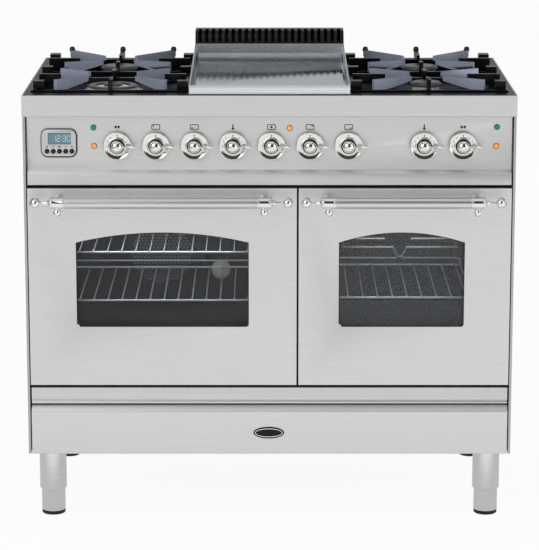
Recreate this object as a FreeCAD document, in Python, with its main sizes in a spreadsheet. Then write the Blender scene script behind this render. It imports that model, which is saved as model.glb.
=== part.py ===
import FreeCAD, Part
import os
import re
import Sketcher

# A free-standing range cooker with two ovens side by side, a storage drawer, four gas burners and
# an electric griddle. +X is the cooker's right as seen from the front, +Y goes to the back and +Z
# up. The origin is on the floor, in the middle of the bounding box. Depths are counted from the
# plane of the door fronts towards the back.

SIZES = {
    # whole cooker
    "rim_width": 1000,
    "body_width": 998,
    "body_depth": 600,
    "hob_depth": 590,
    "back_plane": 580,
    "rim_top": 896,
    "panel_top": 853,
    "leg_height": 147,
    "sheet": 1.5,
    "side_hem": 5,
    # heights of the front
    "lip_low": 237.5,
    "drawer_top": 250,
    "strip_low": 255,
    "strip_top": 289,
    "door_low": 294.5,
    "door_top": 706,
    "panel_low": 713,
    "skirt_top": 736,
    "slope_top": 743,
    "panel_setback": 7,
    # doors
    "door_edge": 492,
    "left_door_edge": 55.5,
    "right_door_edge": 59.5,
    "pan_depth": 20,
    "door_depth": 34,
    "frame_plane": 38,
    "pin_depth": 10,
    "pin_height": 12,
    "pin_radius": 4,
    "running_fit": 0.05,
    "left_oven": -218.7,
    "right_oven": 270,
    "left_window": 352.6,
    "right_window": 256.9,
    "window_low": 417.5,
    "window_corner": 594,
    "window_peak": 615,
    # handles
    "handle_height": 684,
    "handle_gap": 45,
    "handle_reach": 58,
    "rod_radius": 11.3,
    "knuckle_radius": 13,
    "finial_radius": 8.6,
    # ovens
    "left_cavity": 430,
    "right_cavity": 310,
    "cavity_low": 365,
    "cavity_high": 650,
    "cavity_back": 480,
    "ledge_pitch": 51,
    "rack_front": 70,
    "rack_back": 406,
    "rack_bar": 5,
    "wire_width": 4,
    "rack_guard": 15,
    "baffle_depth": 440,
    "fan_across": -238,
    "fan_height": 480,
    "fan_radius": 68,
    # knobs
    "knob_height": 793,
    "dial_gap": 5.5,
    "dial_radius": 28.75,
    "lever_length": 39,
    "lever_lift": 23,
    # timer
    "timer_across": -426,
    "timer_height": 798.6,
    "timer_width": 74,
    "timer_tall": 59,
    "button_radius": 4.7,
    "button_pitch": 12.6,
    "button_height": 782,
    # hob
    "well_floor": 880,
    "well_front": 40,
    "well_back": 550,
    "well_inner": 163,
    "well_outer": 486,
    "burner_across": 324,
    "front_burner": 150,
    "back_burner": 400,
    "grate_top": 920,
    "grate_rail": 900,
    "griddle_half": 163,
    "griddle_front": 12,
    "griddle_back": 490,
    "griddle_low": 917,
    "griddle_high": 940,
    "vent_front": 500,
    "vent_back": 585,
    "vent_top": 966,
    "vent_round": 18,
    "vent_slot": 7.5,
    "vent_pitch": 14.5,
    # drawer and legs
    "box_half": 440,
    "box_low": 165,
    "box_high": 232,
    "box_back": 500,
    "leg_across": 455,
    "front_leg": 70,
    "back_leg": 510,
    "sleeve_radius": 28,
    "shank_radius": 24.7,
    "foot_height": 8,
    # gas and electric connections
    "pipe_depth": 68,
    "inlet_across": 440,
    "inlet_radius": 10.48,
    "terminal_across": -355,
    "gland_bore": 5.5,
}

KNOBS = [
    ("knob_left_oven_mode", -308, "electric"),
    ("knob_rear_left_burner", -230, "gas"),
    ("knob_front_left_burner", -152, "gas"),
    ("knob_left_oven_heat", -74, "electric"),
    ("knob_griddle", 4, "electric"),
    ("knob_rear_right_burner", 82, "gas"),
    ("knob_front_right_burner", 160, "gas"),
    ("knob_right_oven_heat", 313, "electric"),
    ("knob_right_oven_mode", 391.5, "electric"),
]
HANDLE_BRACKETS = {"left": (-428, -10.5), "right": (120, 420.5)}
HANDLE_ENDS = {"left": (-472.7, 37), "right": (74.3, 466.8)}
LAMPS = [(-356, 830), (-355, 792), (41, 829), (460, 831), (459, 792)]

doc = FreeCAD.newDocument("RangeCooker")
sheet = doc.addObject("Spreadsheet::Sheet", "Dimensions")
for row, (alias, size) in enumerate(SIZES.items(), start=1):
    sheet.set(f"A{row}", alias)
    sheet.set(f"B{row}", str(size))
    sheet.setAlias(f"B{row}", alias)
doc.recompute()

subparts = []


# Expressions


def cells(text):
    """The expression with each dimension's name pointing at its cell."""
    return re.sub(r"[a-z_]+", lambda m: "Dimensions." + m.group() if m.group() in SIZES else m.group(), text)


def value(text):
    return float(sheet.evalExpression(cells(str(text))))


def bind(thing, name, text):
    thing.setExpression(name, cells(str(text)))


def deep(depth):
    """The Y of a depth behind the plane of the door fronts."""
    return f"(handle_reach - body_depth) / 2 + ({depth})"


def place(thing, across, depth, height):
    bind(thing, ".Placement.Base.x", across)
    bind(thing, ".Placement.Base.y", deep(depth))
    bind(thing, ".Placement.Base.z", height)
    return thing


def subpart(thing, label):
    thing.Label = label
    subparts.append(thing)
    return thing


# Primitives and booleans


def box(name, left, right, front, back, low, high):
    """A block between two values across, two depths and two heights."""
    block = doc.addObject("Part::Box", name)
    bind(block, "Length", f"({right}) - ({left})")
    bind(block, "Width", f"({back}) - ({front})")
    bind(block, "Height", f"({high}) - ({low})")
    return place(block, left, front, low)


def rod(name, radius, length, across, depth, height, along="Z"):
    """A cylinder that starts at the given place and runs along +X, +Y or +Z."""
    turns = {"X": ((0, 1, 0), 90), "Y": ((1, 0, 0), -90), "Z": ((0, 0, 1), 0)}
    axis, degrees = turns[along]
    made = doc.addObject("Part::Cylinder", name)
    bind(made, "Radius", radius)
    bind(made, "Height", length)
    made.Placement.Rotation = FreeCAD.Rotation(FreeCAD.Vector(*axis), degrees)
    return place(made, across, depth, height)


def fuse(name, shapes, refine=True):
    made = doc.addObject("Part::MultiFuse", name)
    made.Shapes = shapes
    made.Refine = refine
    return made


def cut(name, base, tools):
    tool = tools[0]
    if len(tools) > 1:
        tool = doc.addObject("Part::Compound", name + "_tools")
        tool.Links = tools
    made = doc.addObject("Part::Cut", name)
    made.Base = base
    made.Tool = tool
    return made


def group(name, members):
    made = doc.addObject("Part::Compound", name)
    made.Links = members
    return made


# Bodies, sketches and features


def body(name):
    made = doc.addObject("PartDesign::Body", name)
    made.AllowCompound = True
    return made


def sketch(owner, plane, offset="0", shift=("0", "0")):
    """A sketch on one of the body's planes, moved along the plane's normal and within the plane."""
    made = owner.newObject("Sketcher::SketchObject", owner.Name + "Sketch")
    face = next(o for o in owner.Origin.OriginFeatures if o.Role == plane)
    made.AttachmentSupport = (face, [""])
    made.MapMode = "FlatFace"
    bind(made, ".AttachmentOffset.Base.x", shift[0])
    bind(made, ".AttachmentOffset.Base.y", shift[1])
    bind(made, ".AttachmentOffset.Base.z", offset)
    return made


def hold(target, geometry, point, across, up):
    """Fixes one point of a sketch at two expressions."""
    for kind, text in (("DistanceX", across), ("DistanceY", up)):
        index = target.addConstraint(Sketcher.Constraint(kind, -1, 1, geometry, point, value(text)))
        bind(target, f"Constraints[{index}]", text)


def outline(target, corners):
    """A closed outline. A corner is (across, up), and (across, up, radius) starts an arc.

    The arc runs to the next corner, bulging to the left of the way there for a negative radius
    and to the right of it for a positive one.
    """
    points = [FreeCAD.Vector(value(c[0]), value(c[1]), 0) for c in corners]
    first = target.GeometryCount
    ends = []
    for index, corner in enumerate(corners):
        start = points[index]
        end = points[(index + 1) % len(points)]
        if len(corner) == 2:
            target.addGeometry(Part.LineSegment(start, end), False)
            ends.append((1, 2))
            continue
        radius = value(corner[2])
        chord = end - start
        right = FreeCAD.Vector(chord.y, -chord.x, 0).normalize() * (1 if radius > 0 else -1)
        rise = abs(radius) - max(radius**2 - chord.Length**2 / 4, 0) ** 0.5
        target.addGeometry(Part.Arc(start, start + chord / 2 + right * rise, end), False)
        forward = target.getPoint(first + index, 1).distanceToPoint(start) < 1e-6
        ends.append((1, 2) if forward else (2, 1))
    for index, corner in enumerate(corners):
        after = (index + 1) % len(corners)
        joint = (first + index, ends[index][1], first + after, ends[after][0])
        target.addConstraint(Sketcher.Constraint("Coincident", *joint))
        hold(target, first + index, ends[index][0], corner[0], corner[1])
        if len(corner) == 3:
            size = f"abs({corner[2]})"
            held = target.addConstraint(Sketcher.Constraint("Radius", first + index, value(size)))
            bind(target, f"Constraints[{held}]", size)


def oblong(target, left, right, low, high):
    outline(target, [(left, low), (right, low), (right, high), (left, high)])


def feature(owner, kind, profile, **settings):
    made = owner.newObject("PartDesign::" + kind, owner.Name + kind)
    made.Profile = profile
    for name, setting in settings.items():
        if isinstance(setting, str):
            bind(made, name, setting)
        else:
            setattr(made, name, setting)
    return made


def pad(profile, length, back=False):
    """Adds material along the sketch's normal, or against it."""
    return feature(profile.getParent(), "Pad", profile, Length=length, Reversed=back)


def pocket(profile, length, back=False):
    """Takes material away along the sketch's normal, or against it."""
    return feature(profile.getParent(), "Pocket", profile, Length=length, Reversed=not back)


def row(original, profile, axis, length, count):
    """Repeats a feature along one of the sketch's axes."""
    owner = profile.getParent()
    made = owner.newObject("PartDesign::LinearPattern", owner.Name + "Row")
    made.Originals = [original]
    made.Direction = (profile, [axis])
    bind(made, "Length", length)
    made.Occurrences = count
    owner.Tip = made
    return made


def ring(original, profile, axis, count):
    """Repeats a feature round one of the sketch's axes."""
    owner = profile.getParent()
    made = owner.newObject("PartDesign::PolarPattern", owner.Name + "Ring")
    made.Originals = [original]
    made.Axis = (profile, [axis])
    made.Angle = 360
    made.Occurrences = count
    owner.Tip = made
    return made


def bar(points, radius, sides):
    """A straight-sided bar along a path of points, mitred at its corners."""
    path = Part.makePolygon([FreeCAD.Vector(*p) for p in points])
    start = path.Vertexes[0].Point
    along = path.Vertexes[1].Point - start
    flat = Part.makeCircle(radius, start, along).discretize(sides + 1)
    section = Part.makePolygon(flat[:-1] + [flat[0]])
    return path.makePipeShell([section], True, True, 1)


def turned(name, profile, sides, along="Z"):
    """A form turned about its axis with flat sides, from (distance along the axis, radius) pairs.

    The profile starts and ends on the axis, or goes once round a hollow ring. Small repeated
    pieces are made this way, because a true surface of revolution costs many times the facets.
    """
    hollow = value(profile[0][1]) > 0
    rings = []
    for distance, radius in profile:
        steps = sides if value(radius) > 0 else 1
        ring_points = []
        for index in range(steps):
            turn = FreeCAD.Rotation(FreeCAD.Vector(0, 0, 1), 360 * (index + 0.5) / sides)
            arm = turn.multVec(FreeCAD.Vector(value(radius), 0, 0))
            ring_points.append(arm + FreeCAD.Vector(0, 0, value(distance)))
        rings.append(ring_points)
    faces = []
    for near, far in zip(rings, rings[1:] + rings[:1] if hollow else rings[1:]):
        for index in range(sides):
            after = index + 1
            corners = [near[index % len(near)], near[after % len(near)]]
            corners += [far[after % len(far)], far[index % len(far)]]
            loop = [p for i, p in enumerate(corners) if p != corners[i - 1]]
            faces.append(Part.Face(Part.makePolygon(loop + [loop[0]])))
    made = doc.addObject("Part::Feature", name)
    made.Shape = Part.Solid(Part.Shell(faces)).removeSplitter()
    if made.Shape.Volume < 0:
        made.Shape = made.Shape.reversed()
    turns = {"X": ((0, 1, 0), 90), "Y": ((1, 0, 0), -90), "Z": ((0, 0, 1), 0)}
    axis, degrees = turns[along]
    made.Placement.Rotation = FreeCAD.Rotation(FreeCAD.Vector(*axis), degrees)
    return made


def spindle(name, length, across, depth, height, along):
    """A pin or shaft with twelve fine flats, whose corners keep the running fit in its bore."""
    made = turned(name, [("0", "0"), ("0", "pin_radius"), (length, "pin_radius"), (length, "0")], 12, along)
    return place(made, across, depth, height)


def bore(name, length, across, depth, height, along):
    """An eight-sided hole for a pin or spindle, whose flats keep the running fit."""
    corner = "(pin_radius + running_fit) / cos(22.5)"
    made = turned(name, [("0", "0"), ("0", corner), (length, corner), (length, "0")], 8, along)
    return place(made, across, depth, height)


def polygon(target, sides, flat_radius, across="0", up="0"):
    """A regular outline whose flats stand at the given distance from its centre."""
    reach = f"({flat_radius}) / cos(180 / {sides})"
    turns = [360 * (index + 0.5) / sides for index in range(sides)]
    corners = [(f"{across} + {reach} * cos({t})", f"{up} + {reach} * sin({t})") for t in turns]
    outline(target, corners)


# Housing


def side_panel(side, sign):
    """A folded side wall: a hem that shows beside the doors and a flange behind the back panel."""
    panel = body("side_panel_" + side)

    def inward(distance):
        return f"{sign} * (body_width / 2 - ({distance}))"

    plan = sketch(panel, "XY_Plane", offset="leg_height")
    hem_depth = 14
    flange = 22
    outline(
        plan,
        [
            (inward("0"), deep("0")),
            (inward("side_hem"), deep("0")),
            (inward("side_hem"), deep(hem_depth)),
            (inward("sheet"), deep(hem_depth)),
            (inward("sheet"), deep("back_plane - 2 - sheet")),
            (inward(flange), deep("back_plane - 2 - sheet")),
            (inward(flange), deep("back_plane - 2")),
            (inward("0"), deep("back_plane - 2")),
        ],
    )
    pad(plan, "panel_top - leg_height")
    return subpart(panel, "side_panel_" + side)


def back_panel():
    """The rear sheet, with a row of air slots and the hole for the gas inlet."""
    panel = body("back_panel")
    half = "body_width / 2 - sheet"
    face = sketch(panel, "XZ_Plane", offset="-(" + deep("back_plane - 2") + ")")
    oblong(face, f"-({half})", half, "leg_height", "panel_top")
    polygon(face, 10, "inlet_radius + 2", "inlet_across", "knob_height")
    pad(face, "2", back=True)
    slot = sketch(panel, "XZ_Plane", offset="-(" + deep("back_plane - 2") + ")")
    slot_row = 700
    oblong(slot, "-160", "-150", slot_row, slot_row + 60)
    vent = pocket(slot, "4", back=True)
    row(vent, slot, "H_Axis", "310", 8)
    return subpart(panel, "back_panel")


def base_tray():
    """The floor of the cooker, with the two angle rails that the drawer slides on."""
    half = "body_width / 2 - sheet"
    level = ("leg_height", "leg_height + 2")
    plate = box("base_plate", f"-({half})", half, "24", "back_plane - 2 - sheet", *level)
    rails = [plate]
    for side, sign in (("left", -1), ("right", 1)):
        wall = sorted((452 * sign, 454 * sign))
        ledge = sorted((442 * sign, 454 * sign))
        rails.append(box(f"rail_wall_{side}", *wall, "30", "560", "leg_height + 1", "190"))
        rails.append(box(f"rail_ledge_{side}", *ledge, "30", "560", "168", "170"))
        rails.append(box(f"rail_keeper_{side}", *ledge, "30", "560", "176", "178"))
    return subpart(fuse("base_tray", rails), "base_tray")


def trim_strip():
    """The steel rail between doors and drawer, a channel with one pressed groove."""
    strip = body("trim_strip")
    half = "body_width / 2 - side_hem"
    section = sketch(strip, "YZ_Plane", offset=f"-({half})")
    outline(
        section,
        [
            (deep("frame_plane"), "strip_low"),
            (deep("0"), "strip_low"),
            (deep("0"), "strip_low + 4"),
            (deep("2"), "strip_low + 6"),
            (deep("0"), "strip_low + 8"),
            (deep("0"), "strip_top"),
            (deep("frame_plane"), "strip_top"),
            (deep("frame_plane"), "strip_top - 2"),
            (deep("4"), "strip_top - 2"),
            (deep("4"), "strip_low + 2"),
            (deep("frame_plane"), "strip_low + 2"),
        ],
    )
    pad(section, f"2 * ({half})")
    return subpart(strip, "trim_strip")


def hinge_places(side):
    """Where the two hinge arms of a door stand, as expressions across."""
    if side == "left":
        return ("45 - door_edge", "left_door_edge - 45")
    return ("right_door_edge + 45", "door_edge - 45")


def front_frame():
    """The face frame behind the doors, with the four hinge arms that carry them."""
    frame = body("face_frame")
    half = "body_width / 2 - side_hem"
    face = sketch(frame, "XZ_Plane", offset="-(" + deep("frame_plane") + ")")
    oblong(face, f"-({half})", half, "strip_low", "panel_low + 12")
    for side in ("left", "right"):
        edge = f"{side}_cavity / 2"
        oblong(face, f"{side}_oven - {edge}", f"{side}_oven + {edge}", "cavity_low", "cavity_high")
    pad(face, "2.5", back=True)
    parts = [frame]
    bores = []
    pin = "door_low + pin_height"
    for side in ("left", "right"):
        for index, middle in enumerate(hinge_places(side)):
            name = f"arm_{side}_{index}"
            arm = (f"{middle} - 4", f"{middle} + 4")
            parts.append(box(name, *arm, "pin_depth", "frame_plane + 1", f"{pin} - 6", f"{pin} + 6"))
            eye = [("0", "0"), ("0", "6 / cos(22.5)"), ("8", "6 / cos(22.5)"), ("8", "0")]
            parts.append(place(turned(name + "_eye", eye, 8, "X"), arm[0], "pin_depth", pin))
            bores.append(bore(name + "_bore", 10, f"{middle} - 5", "pin_depth", pin, "X"))
    return subpart(cut("front_frame", fuse("frame_with_arms", parts), bores), "front_frame")


def oven_liner(side):
    """An enamelled oven box with a front flange and five pairs of ledges for racks."""
    liner = body("oven_liner_" + side)
    middle = f"{side}_oven"
    half = f"{side}_cavity / 2"
    start = "frame_plane + 2.5"

    def rectangle(profile, grow):
        across = (f"{middle} - {half} - ({grow})", f"{middle} + {half} + ({grow})")
        oblong(profile, *across, f"cavity_low - ({grow})", f"cavity_high + ({grow})")

    flange = sketch(liner, "XZ_Plane", offset="-(" + deep(start) + ")")
    rectangle(flange, "14")
    pad(flange, "2", back=True)
    shell = sketch(liner, "XZ_Plane", offset="-(" + deep(start) + ")")
    rectangle(shell, "2")
    pad(shell, f"cavity_back + 2 - ({start})", back=True)
    hollow = sketch(liner, "XZ_Plane", offset="-(" + deep(start) + ")")
    rectangle(hollow, "0")
    pocket(hollow, f"cavity_back - ({start})", back=True)
    ledges = sketch(liner, "XZ_Plane", offset="-(" + deep("60") + ")")
    first = "404" if side == "left" else "410"
    ledge_width = 8
    for edge, inner in ((f"{middle} - {half}", 1), (f"{middle} + {half}", -1)):
        ends = (edge, f"{edge} + {inner * ledge_width}")
        left, right = ends if inner > 0 else ends[::-1]
        oblong(ledges, left, right, f"{first} - 5", first)
    shelf = pad(ledges, "370", back=True)
    row(shelf, ledges, "V_Axis", "3 * ledge_pitch", 4)
    if side == "left":
        shaft = sketch(liner, "XZ_Plane", offset="-(" + deep("cavity_back - 1") + ")")
        polygon(shaft, 8, "6", "fan_across", "fan_height")
        pocket(shaft, "5", back=True)
    return subpart(liner, "oven_liner_" + side)


def door_seals():
    """The gaskets on the face frame, one loop round each oven mouth."""
    seals = body("door_seals")
    face = sketch(seals, "XZ_Plane", offset="-(" + deep("door_depth + 0.4") + ")")
    for side in ("left", "right"):
        for grow in (5, 13):
            edge = f"{side}_cavity / 2 + {grow}"
            across = (f"{side}_oven - ({edge})", f"{side}_oven + {edge}")
            oblong(face, *across, f"cavity_low - {grow}", f"cavity_high + {grow}")
    pad(face, "frame_plane - door_depth - 0.4", back=True)
    return subpart(seals, "door_seals")


# Inside the ovens


def oven_rack(name, side, height, pitch, gaps):
    """A rack of straight bars inside a rectangular frame, with a raised guard at its back."""
    rack = body("rack_" + name)
    middle = f"{side}_oven"
    half = f"({side}_cavity / 2 - 3)"
    low, high = f"{height} - rack_bar / 2", f"{height} + rack_bar / 2"
    plan = sketch(rack, "XY_Plane", offset=low)
    oblong(plan, f"{middle} - {half}", f"{middle} + {half}", deep("rack_front"), deep("rack_back"))
    pad(plan, "rack_bar")
    space = sketch(rack, "XY_Plane", offset=f"{low} - 1")
    first = f"{middle} - {gaps / 2} * {pitch}"
    sides = (f"{first} + wire_width / 2", f"{first} + {pitch} - wire_width / 2")
    oblong(space, *sides, deep("rack_front + rack_bar"), deep("rack_back - rack_bar"))
    opening = pocket(space, "rack_bar + 2")
    row(opening, space, "H_Axis", f"{gaps - 1} * {pitch}", gaps)
    guard = sketch(rack, "XZ_Plane", offset="-(" + deep("rack_back - rack_bar") + ")")
    for grow in ("0", "rack_bar"):
        across = (f"{middle} - {half} + {grow}", f"{middle} + {half} - ({grow})")
        oblong(guard, *across, f"{high} - 1 + 2 * ({grow}) / rack_bar", f"{high} + rack_guard - ({grow})")
    pad(guard, "rack_bar", back=True)
    return rack


def oven_racks():
    """Three racks: two in the left oven and one in the right."""
    racks = [
        oven_rack("left_upper", "left", 559.5, 29.1, 14),
        oven_rack("left_lower", "left", 457.5, 29.1, 14),
        oven_rack("right", "right", 463.5, 30.6, 9),
    ]
    return subpart(group("oven_racks", racks), "oven_racks")


def heating_elements():
    """Tubular heaters: a grill element under each oven roof, a ring round the fan, the griddle's."""
    thick = 3.2
    sides = 6
    shapes = []
    rear = value(deep("cavity_back"))
    near = value(deep("90"))
    for middle, half, height, dips in (
        (value("left_oven"), 160, 628, []),
        (value("right_oven"), 118, 566, [(-15, 0), (-5, -20), (5, -20), (15, 0)]),
    ):
        path = [
            (middle - 30, rear, height),
            (middle - 30, near + 90, height),
            (middle - half, near + 90, height),
            (middle - half, near, height),
        ]
        path += [(middle + across, near, height + up) for across, up in dips]
        path += [
            (middle + half, near, height),
            (middle + half, near + 90, height),
            (middle + 30, near + 90, height),
            (middle + 30, rear, height),
        ]
        shapes.append(bar(path, thick, sides))
    loop = "(fan_radius + 12)"
    section = [("-3", f"{loop} - 3"), ("3", f"{loop} - 3"), ("3", f"{loop} + 3"), ("-3", f"{loop} + 3")]
    heater = turned("fan_element", section, 16, "Y")
    place(heater, "fan_across", "460", "fan_height")
    runs = 4
    spacing = 70
    edge = (runs - 1) / 2 * spacing
    path = []
    for index in range(runs):
        x = index * spacing - edge
        ends = [value(deep("60")), value(deep("440"))]
        path += [(x, y, 889) for y in (ends if index % 2 else ends[::-1])]
    shapes.append(bar(path, thick, sides))
    tubes = doc.addObject("Part::Feature", "element_tubes")
    tubes.Shape = Part.makeCompound(shapes)
    return subpart(group("heating_elements", [tubes, heater]), "heating_elements")


def fan_baffle():
    """The plate in front of the convection fan, with two rings of holes and folded sides."""
    baffle = body("fan_baffle")
    half = "fan_radius + 28"
    face = sketch(baffle, "XZ_Plane", offset="-(" + deep("baffle_depth") + ")")
    across = (f"fan_across - ({half})", f"fan_across + {half}")
    oblong(face, *across, "cavity_low + 8", "fan_height + fan_radius + 30")
    pad(face, "cavity_back - baffle_depth", back=True)
    inside = sketch(baffle, "XZ_Plane", offset="-(" + deep("baffle_depth + sheet") + ")")
    edge = f"{half} - sheet"
    across = (f"fan_across - ({edge})", f"fan_across + {edge}")
    oblong(inside, *across, "cavity_low", "fan_height + 2 * fan_radius")
    pocket(inside, "cavity_back - baffle_depth", back=True)
    plane = "-(" + deep("baffle_depth - 1") + ")"
    for radius, count in ((26, 7), (48, 13)):
        spoke = sketch(baffle, "XZ_Plane", offset=plane, shift=("fan_across", "fan_height"))
        polygon(spoke, 6, "4.3", radius)
        ring(pocket(spoke, "4", back=True), spoke, "N_Axis", count)
    return subpart(baffle, "fan_baffle")


def fan_wheel():
    """A radial fan wheel: hub and shaft, back disc and eight blades."""
    wheel = body("fan_blades")
    disc = sketch(wheel, "XZ_Plane", offset="2.5")
    polygon(disc, 16, "fan_radius")
    pad(disc, "1.5")
    blade = sketch(wheel, "XZ_Plane", offset="3.5")
    outline(blade, [("8", "-1"), ("8", "1"), ("fan_radius - 1", "5"), ("fan_radius - 1", "3.4")])
    vane = pad(blade, "20")
    ring(vane, blade, "N_Axis", 8)
    place(wheel, "fan_across", "cavity_back - 6", "fan_height")
    profile = [("-26", "0"), ("-26", "7"), ("-24", "9"), ("-2.5", "9"), ("-2.5", "pin_radius")]
    profile += [("40", "pin_radius"), ("40", "0")]
    hub = place(turned("fan_hub", profile, 12, "Y"), "fan_across", "cavity_back - 6", "fan_height")
    return subpart(fuse("fan_wheel", [wheel, hub]), "fan_wheel")


def fan_motor():
    """The fan's motor behind the left oven, with the bearing that the wheel's shaft turns in."""
    profile = [("0", "0"), ("0", "44"), ("3", "44"), ("3", "34"), ("54", "34"), ("58", "28"), ("58", "0")]
    motor = place(turned("motor_case", profile, 16, "Y"), "fan_across", "cavity_back + 2", "fan_height")
    bearing = bore("fan_bearing", 38, "fan_across", "cavity_back + 1", "fan_height", "Y")
    return subpart(cut("fan_motor", motor, [bearing]), "fan_motor")


def oven_lamps():
    """A glass dome over each oven's lamp, on the back wall."""
    domes = []
    profile = [("0", "0"), ("0", "24"), ("-5", "24"), ("-15", "15"), ("-20", "0")]
    for side, across in (("left", "-108"), ("right", "right_oven + 118")):
        dome = turned("lamp_dome_" + side, profile, 10, "Y")
        domes.append(place(dome, across, "cavity_back", "437"))
    return subpart(group("oven_lamps", domes), "oven_lamps")


# Doors


def door_edges(side):
    if side == "left":
        return "-door_edge", "left_door_edge"
    return "right_door_edge", "door_edge"


def arched_window(profile, side, grow="0"):
    """The window's outline: straight sides and foot, and a shallow arch for a head."""
    middle = f"{side}_oven"
    half = f"{side}_window / 2 + ({grow})"
    rise = "window_peak - window_corner"
    arch = f"(({half}) ^ 2 + ({rise}) ^ 2) / (2 * ({rise}))"
    left, right = f"{middle} - ({half})", f"{middle} + {half}"
    corner = 6
    outline(
        profile,
        [
            (left, f"window_low + {corner}", f"-{corner}"),
            (f"{left} + {corner}", "window_low"),
            (f"{right} - {corner}", "window_low", f"{corner}"),
            (right, f"window_low + {corner}"),
            (right, "window_corner", arch),
            (left, "window_corner"),
        ],
    )


def hinge_notches(side, name):
    """The slots in a door's foot that the hinge arms reach into while it is shut."""
    top = "door_low + pin_height + 9"
    return [
        box(f"{name}_notch_{side}_{i}", f"{x} - 5", f"{x} + 5", "2.5", "door_depth + 1", "door_low - 1", top)
        for i, x in enumerate(hinge_places(side))
    ]


def door_panel(side):
    """The steel front of a door: a folded pan with an arched window."""
    left, right = door_edges(side)
    pan = body(f"door_{side}_pan")
    face = sketch(pan, "XZ_Plane", offset="-(" + deep("0") + ")")
    oblong(face, left, right, "door_low", "door_top")
    arched_window(face, side)
    pad(face, "pan_depth", back=True)
    hollow = sketch(pan, "XZ_Plane", offset="-(" + deep("2") + ")")
    oblong(hollow, f"{left} + 2", f"{right} - 2", "door_low + 2", "door_top - 2")
    pocket(hollow, "pan_depth", back=True)
    name = f"door_{side}_panel"
    return subpart(cut(name, pan, hinge_notches(side, "panel")), name)


def door_inner_frame(side):
    """The inner pan of a door, with the blocks and pins of its two hinges."""
    left, right = door_edges(side)
    pan = body(f"door_{side}_inner_pan")
    face = sketch(pan, "XZ_Plane", offset="-(" + deep("pan_depth") + ")")
    oblong(face, f"{left} + 3", f"{right} - 3", "door_low + 3", "door_top - 3")
    half = f"({side}_window / 2 + 8)"
    oblong(face, f"{side}_oven - {half}", f"{side}_oven + {half}", "window_low - 8", "window_peak + 8")
    pad(face, "door_depth - pan_depth", back=True)
    hollow = sketch(pan, "XZ_Plane", offset="-(" + deep("pan_depth - 1") + ")")
    oblong(hollow, f"{left} + 5", f"{right} - 5", "door_low + 5", "door_top - 5")
    pocket(hollow, "door_depth - pan_depth - 1", back=True)
    blocks = [pan]
    pins = []
    for index, x in enumerate(hinge_places(side)):
        name = f"hinge_{side}_{index}"
        span = (f"{x} - 14", f"{x} + 14")
        blocks.append(box(name + "_block", *span, "4", "door_depth - 1", "door_low + 4", "door_low + 20"))
        pins.append(spindle(name + "_pin", 20, f"{x} - 10", "pin_depth", "door_low + pin_height", "X"))
    joined = fuse(f"door_{side}_inner_solid", blocks)
    notched = cut(f"door_{side}_notched", joined, hinge_notches(side, "inner"))
    name = f"door_{side}_inner_frame"
    return subpart(fuse(name, [notched] + pins), name)


def door_glass(side):
    """The two panes of a door: one behind the steel front, one on the inner pan."""
    half = f"({side}_window / 2 + 22)"
    panes = []
    for layer, front in (("outer", "2"), ("inner", "28")):
        panes.append(
            box(
                f"pane_{layer}_{side}",
                f"{side}_oven - {half}",
                f"{side}_oven + {half}",
                front,
                f"{front} + 4",
                "window_low - 22",
                "window_peak + 22",
            )
        )
    name = f"door_{side}_glass"
    return subpart(group(name, panes), name)


def handle_bracket(side, index, across):
    """A turned post from the door to the rod, and the small ball that hangs under it."""
    stand = [
        ("0", "0"),
        ("0", "14"),
        ("-7", "8.5"),
        ("6 - handle_gap", "8.5"),
        ("-handle_gap", "10"),
        ("-handle_gap", "0"),
    ]
    post = place(turned(f"post_{side}_{index}", stand, 8, "Y"), across, "0", "handle_height")
    drop = "-19.5"
    drip = [("0", "0"), ("0", "6"), (f"{drop} + finial_radius", "3")]
    drip += ball_rings("finial_radius", drop, (20, -30)) + [(f"{drop} - finial_radius", "0")]
    finial = turned(f"finial_{side}_{index}", drip, 8)
    return [post, place(finial, across, "-handle_gap", "handle_height")]


def ball_rings(radius, middle, angles):
    """Rings of a ball, as (place along its axis, radius) at angles from its equator."""
    return [(f"{middle} + {radius} * sin({a})", f"{radius} * cos({a})") for a in angles]


def door_handle(side):
    """A round bar on two turned brackets, with a ball at each end."""
    first, last = HANDLE_BRACKETS[side]
    barrel = 14
    ball = 11
    neck = 2.8
    rod_turns = [
        (first - barrel - 8, "0"),
        (first - barrel - 8, neck),
        (first - barrel, "knuckle_radius"),
        (first + barrel, "knuckle_radius"),
        (first + barrel, "rod_radius"),
        (last - barrel, "rod_radius"),
        (last - barrel, "knuckle_radius"),
        (last + barrel, "knuckle_radius"),
        (last + barrel + 8, neck),
        (last + barrel + 8, "0"),
    ]
    parts = [place(turned(f"handle_rod_{side}", rod_turns, 16, "X"), "0", "-handle_gap", "handle_height")]
    for index, across in enumerate((first, last)):
        end = HANDLE_ENDS[side][index]
        outward = -1 if index == 0 else 1
        middle = abs(end - across) - 10
        knob_end = [("0", "0"), ("0", neck)] + ball_rings(ball, middle, (-50, 0, 50))
        tip = turned(f"handle_end_{side}_{index}", knob_end + [(middle + ball, "0")], 10, "X")
        if outward < 0:
            tip.Placement.Rotation = FreeCAD.Rotation(FreeCAD.Vector(0, 1, 0), -90)
        parts.append(place(tip, across + outward * 10, "-handle_gap", "handle_height"))
        parts += handle_bracket(side, index, across)
    name = f"door_{side}_handle"
    return subpart(fuse(name, parts), name)


# Drawer


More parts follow.
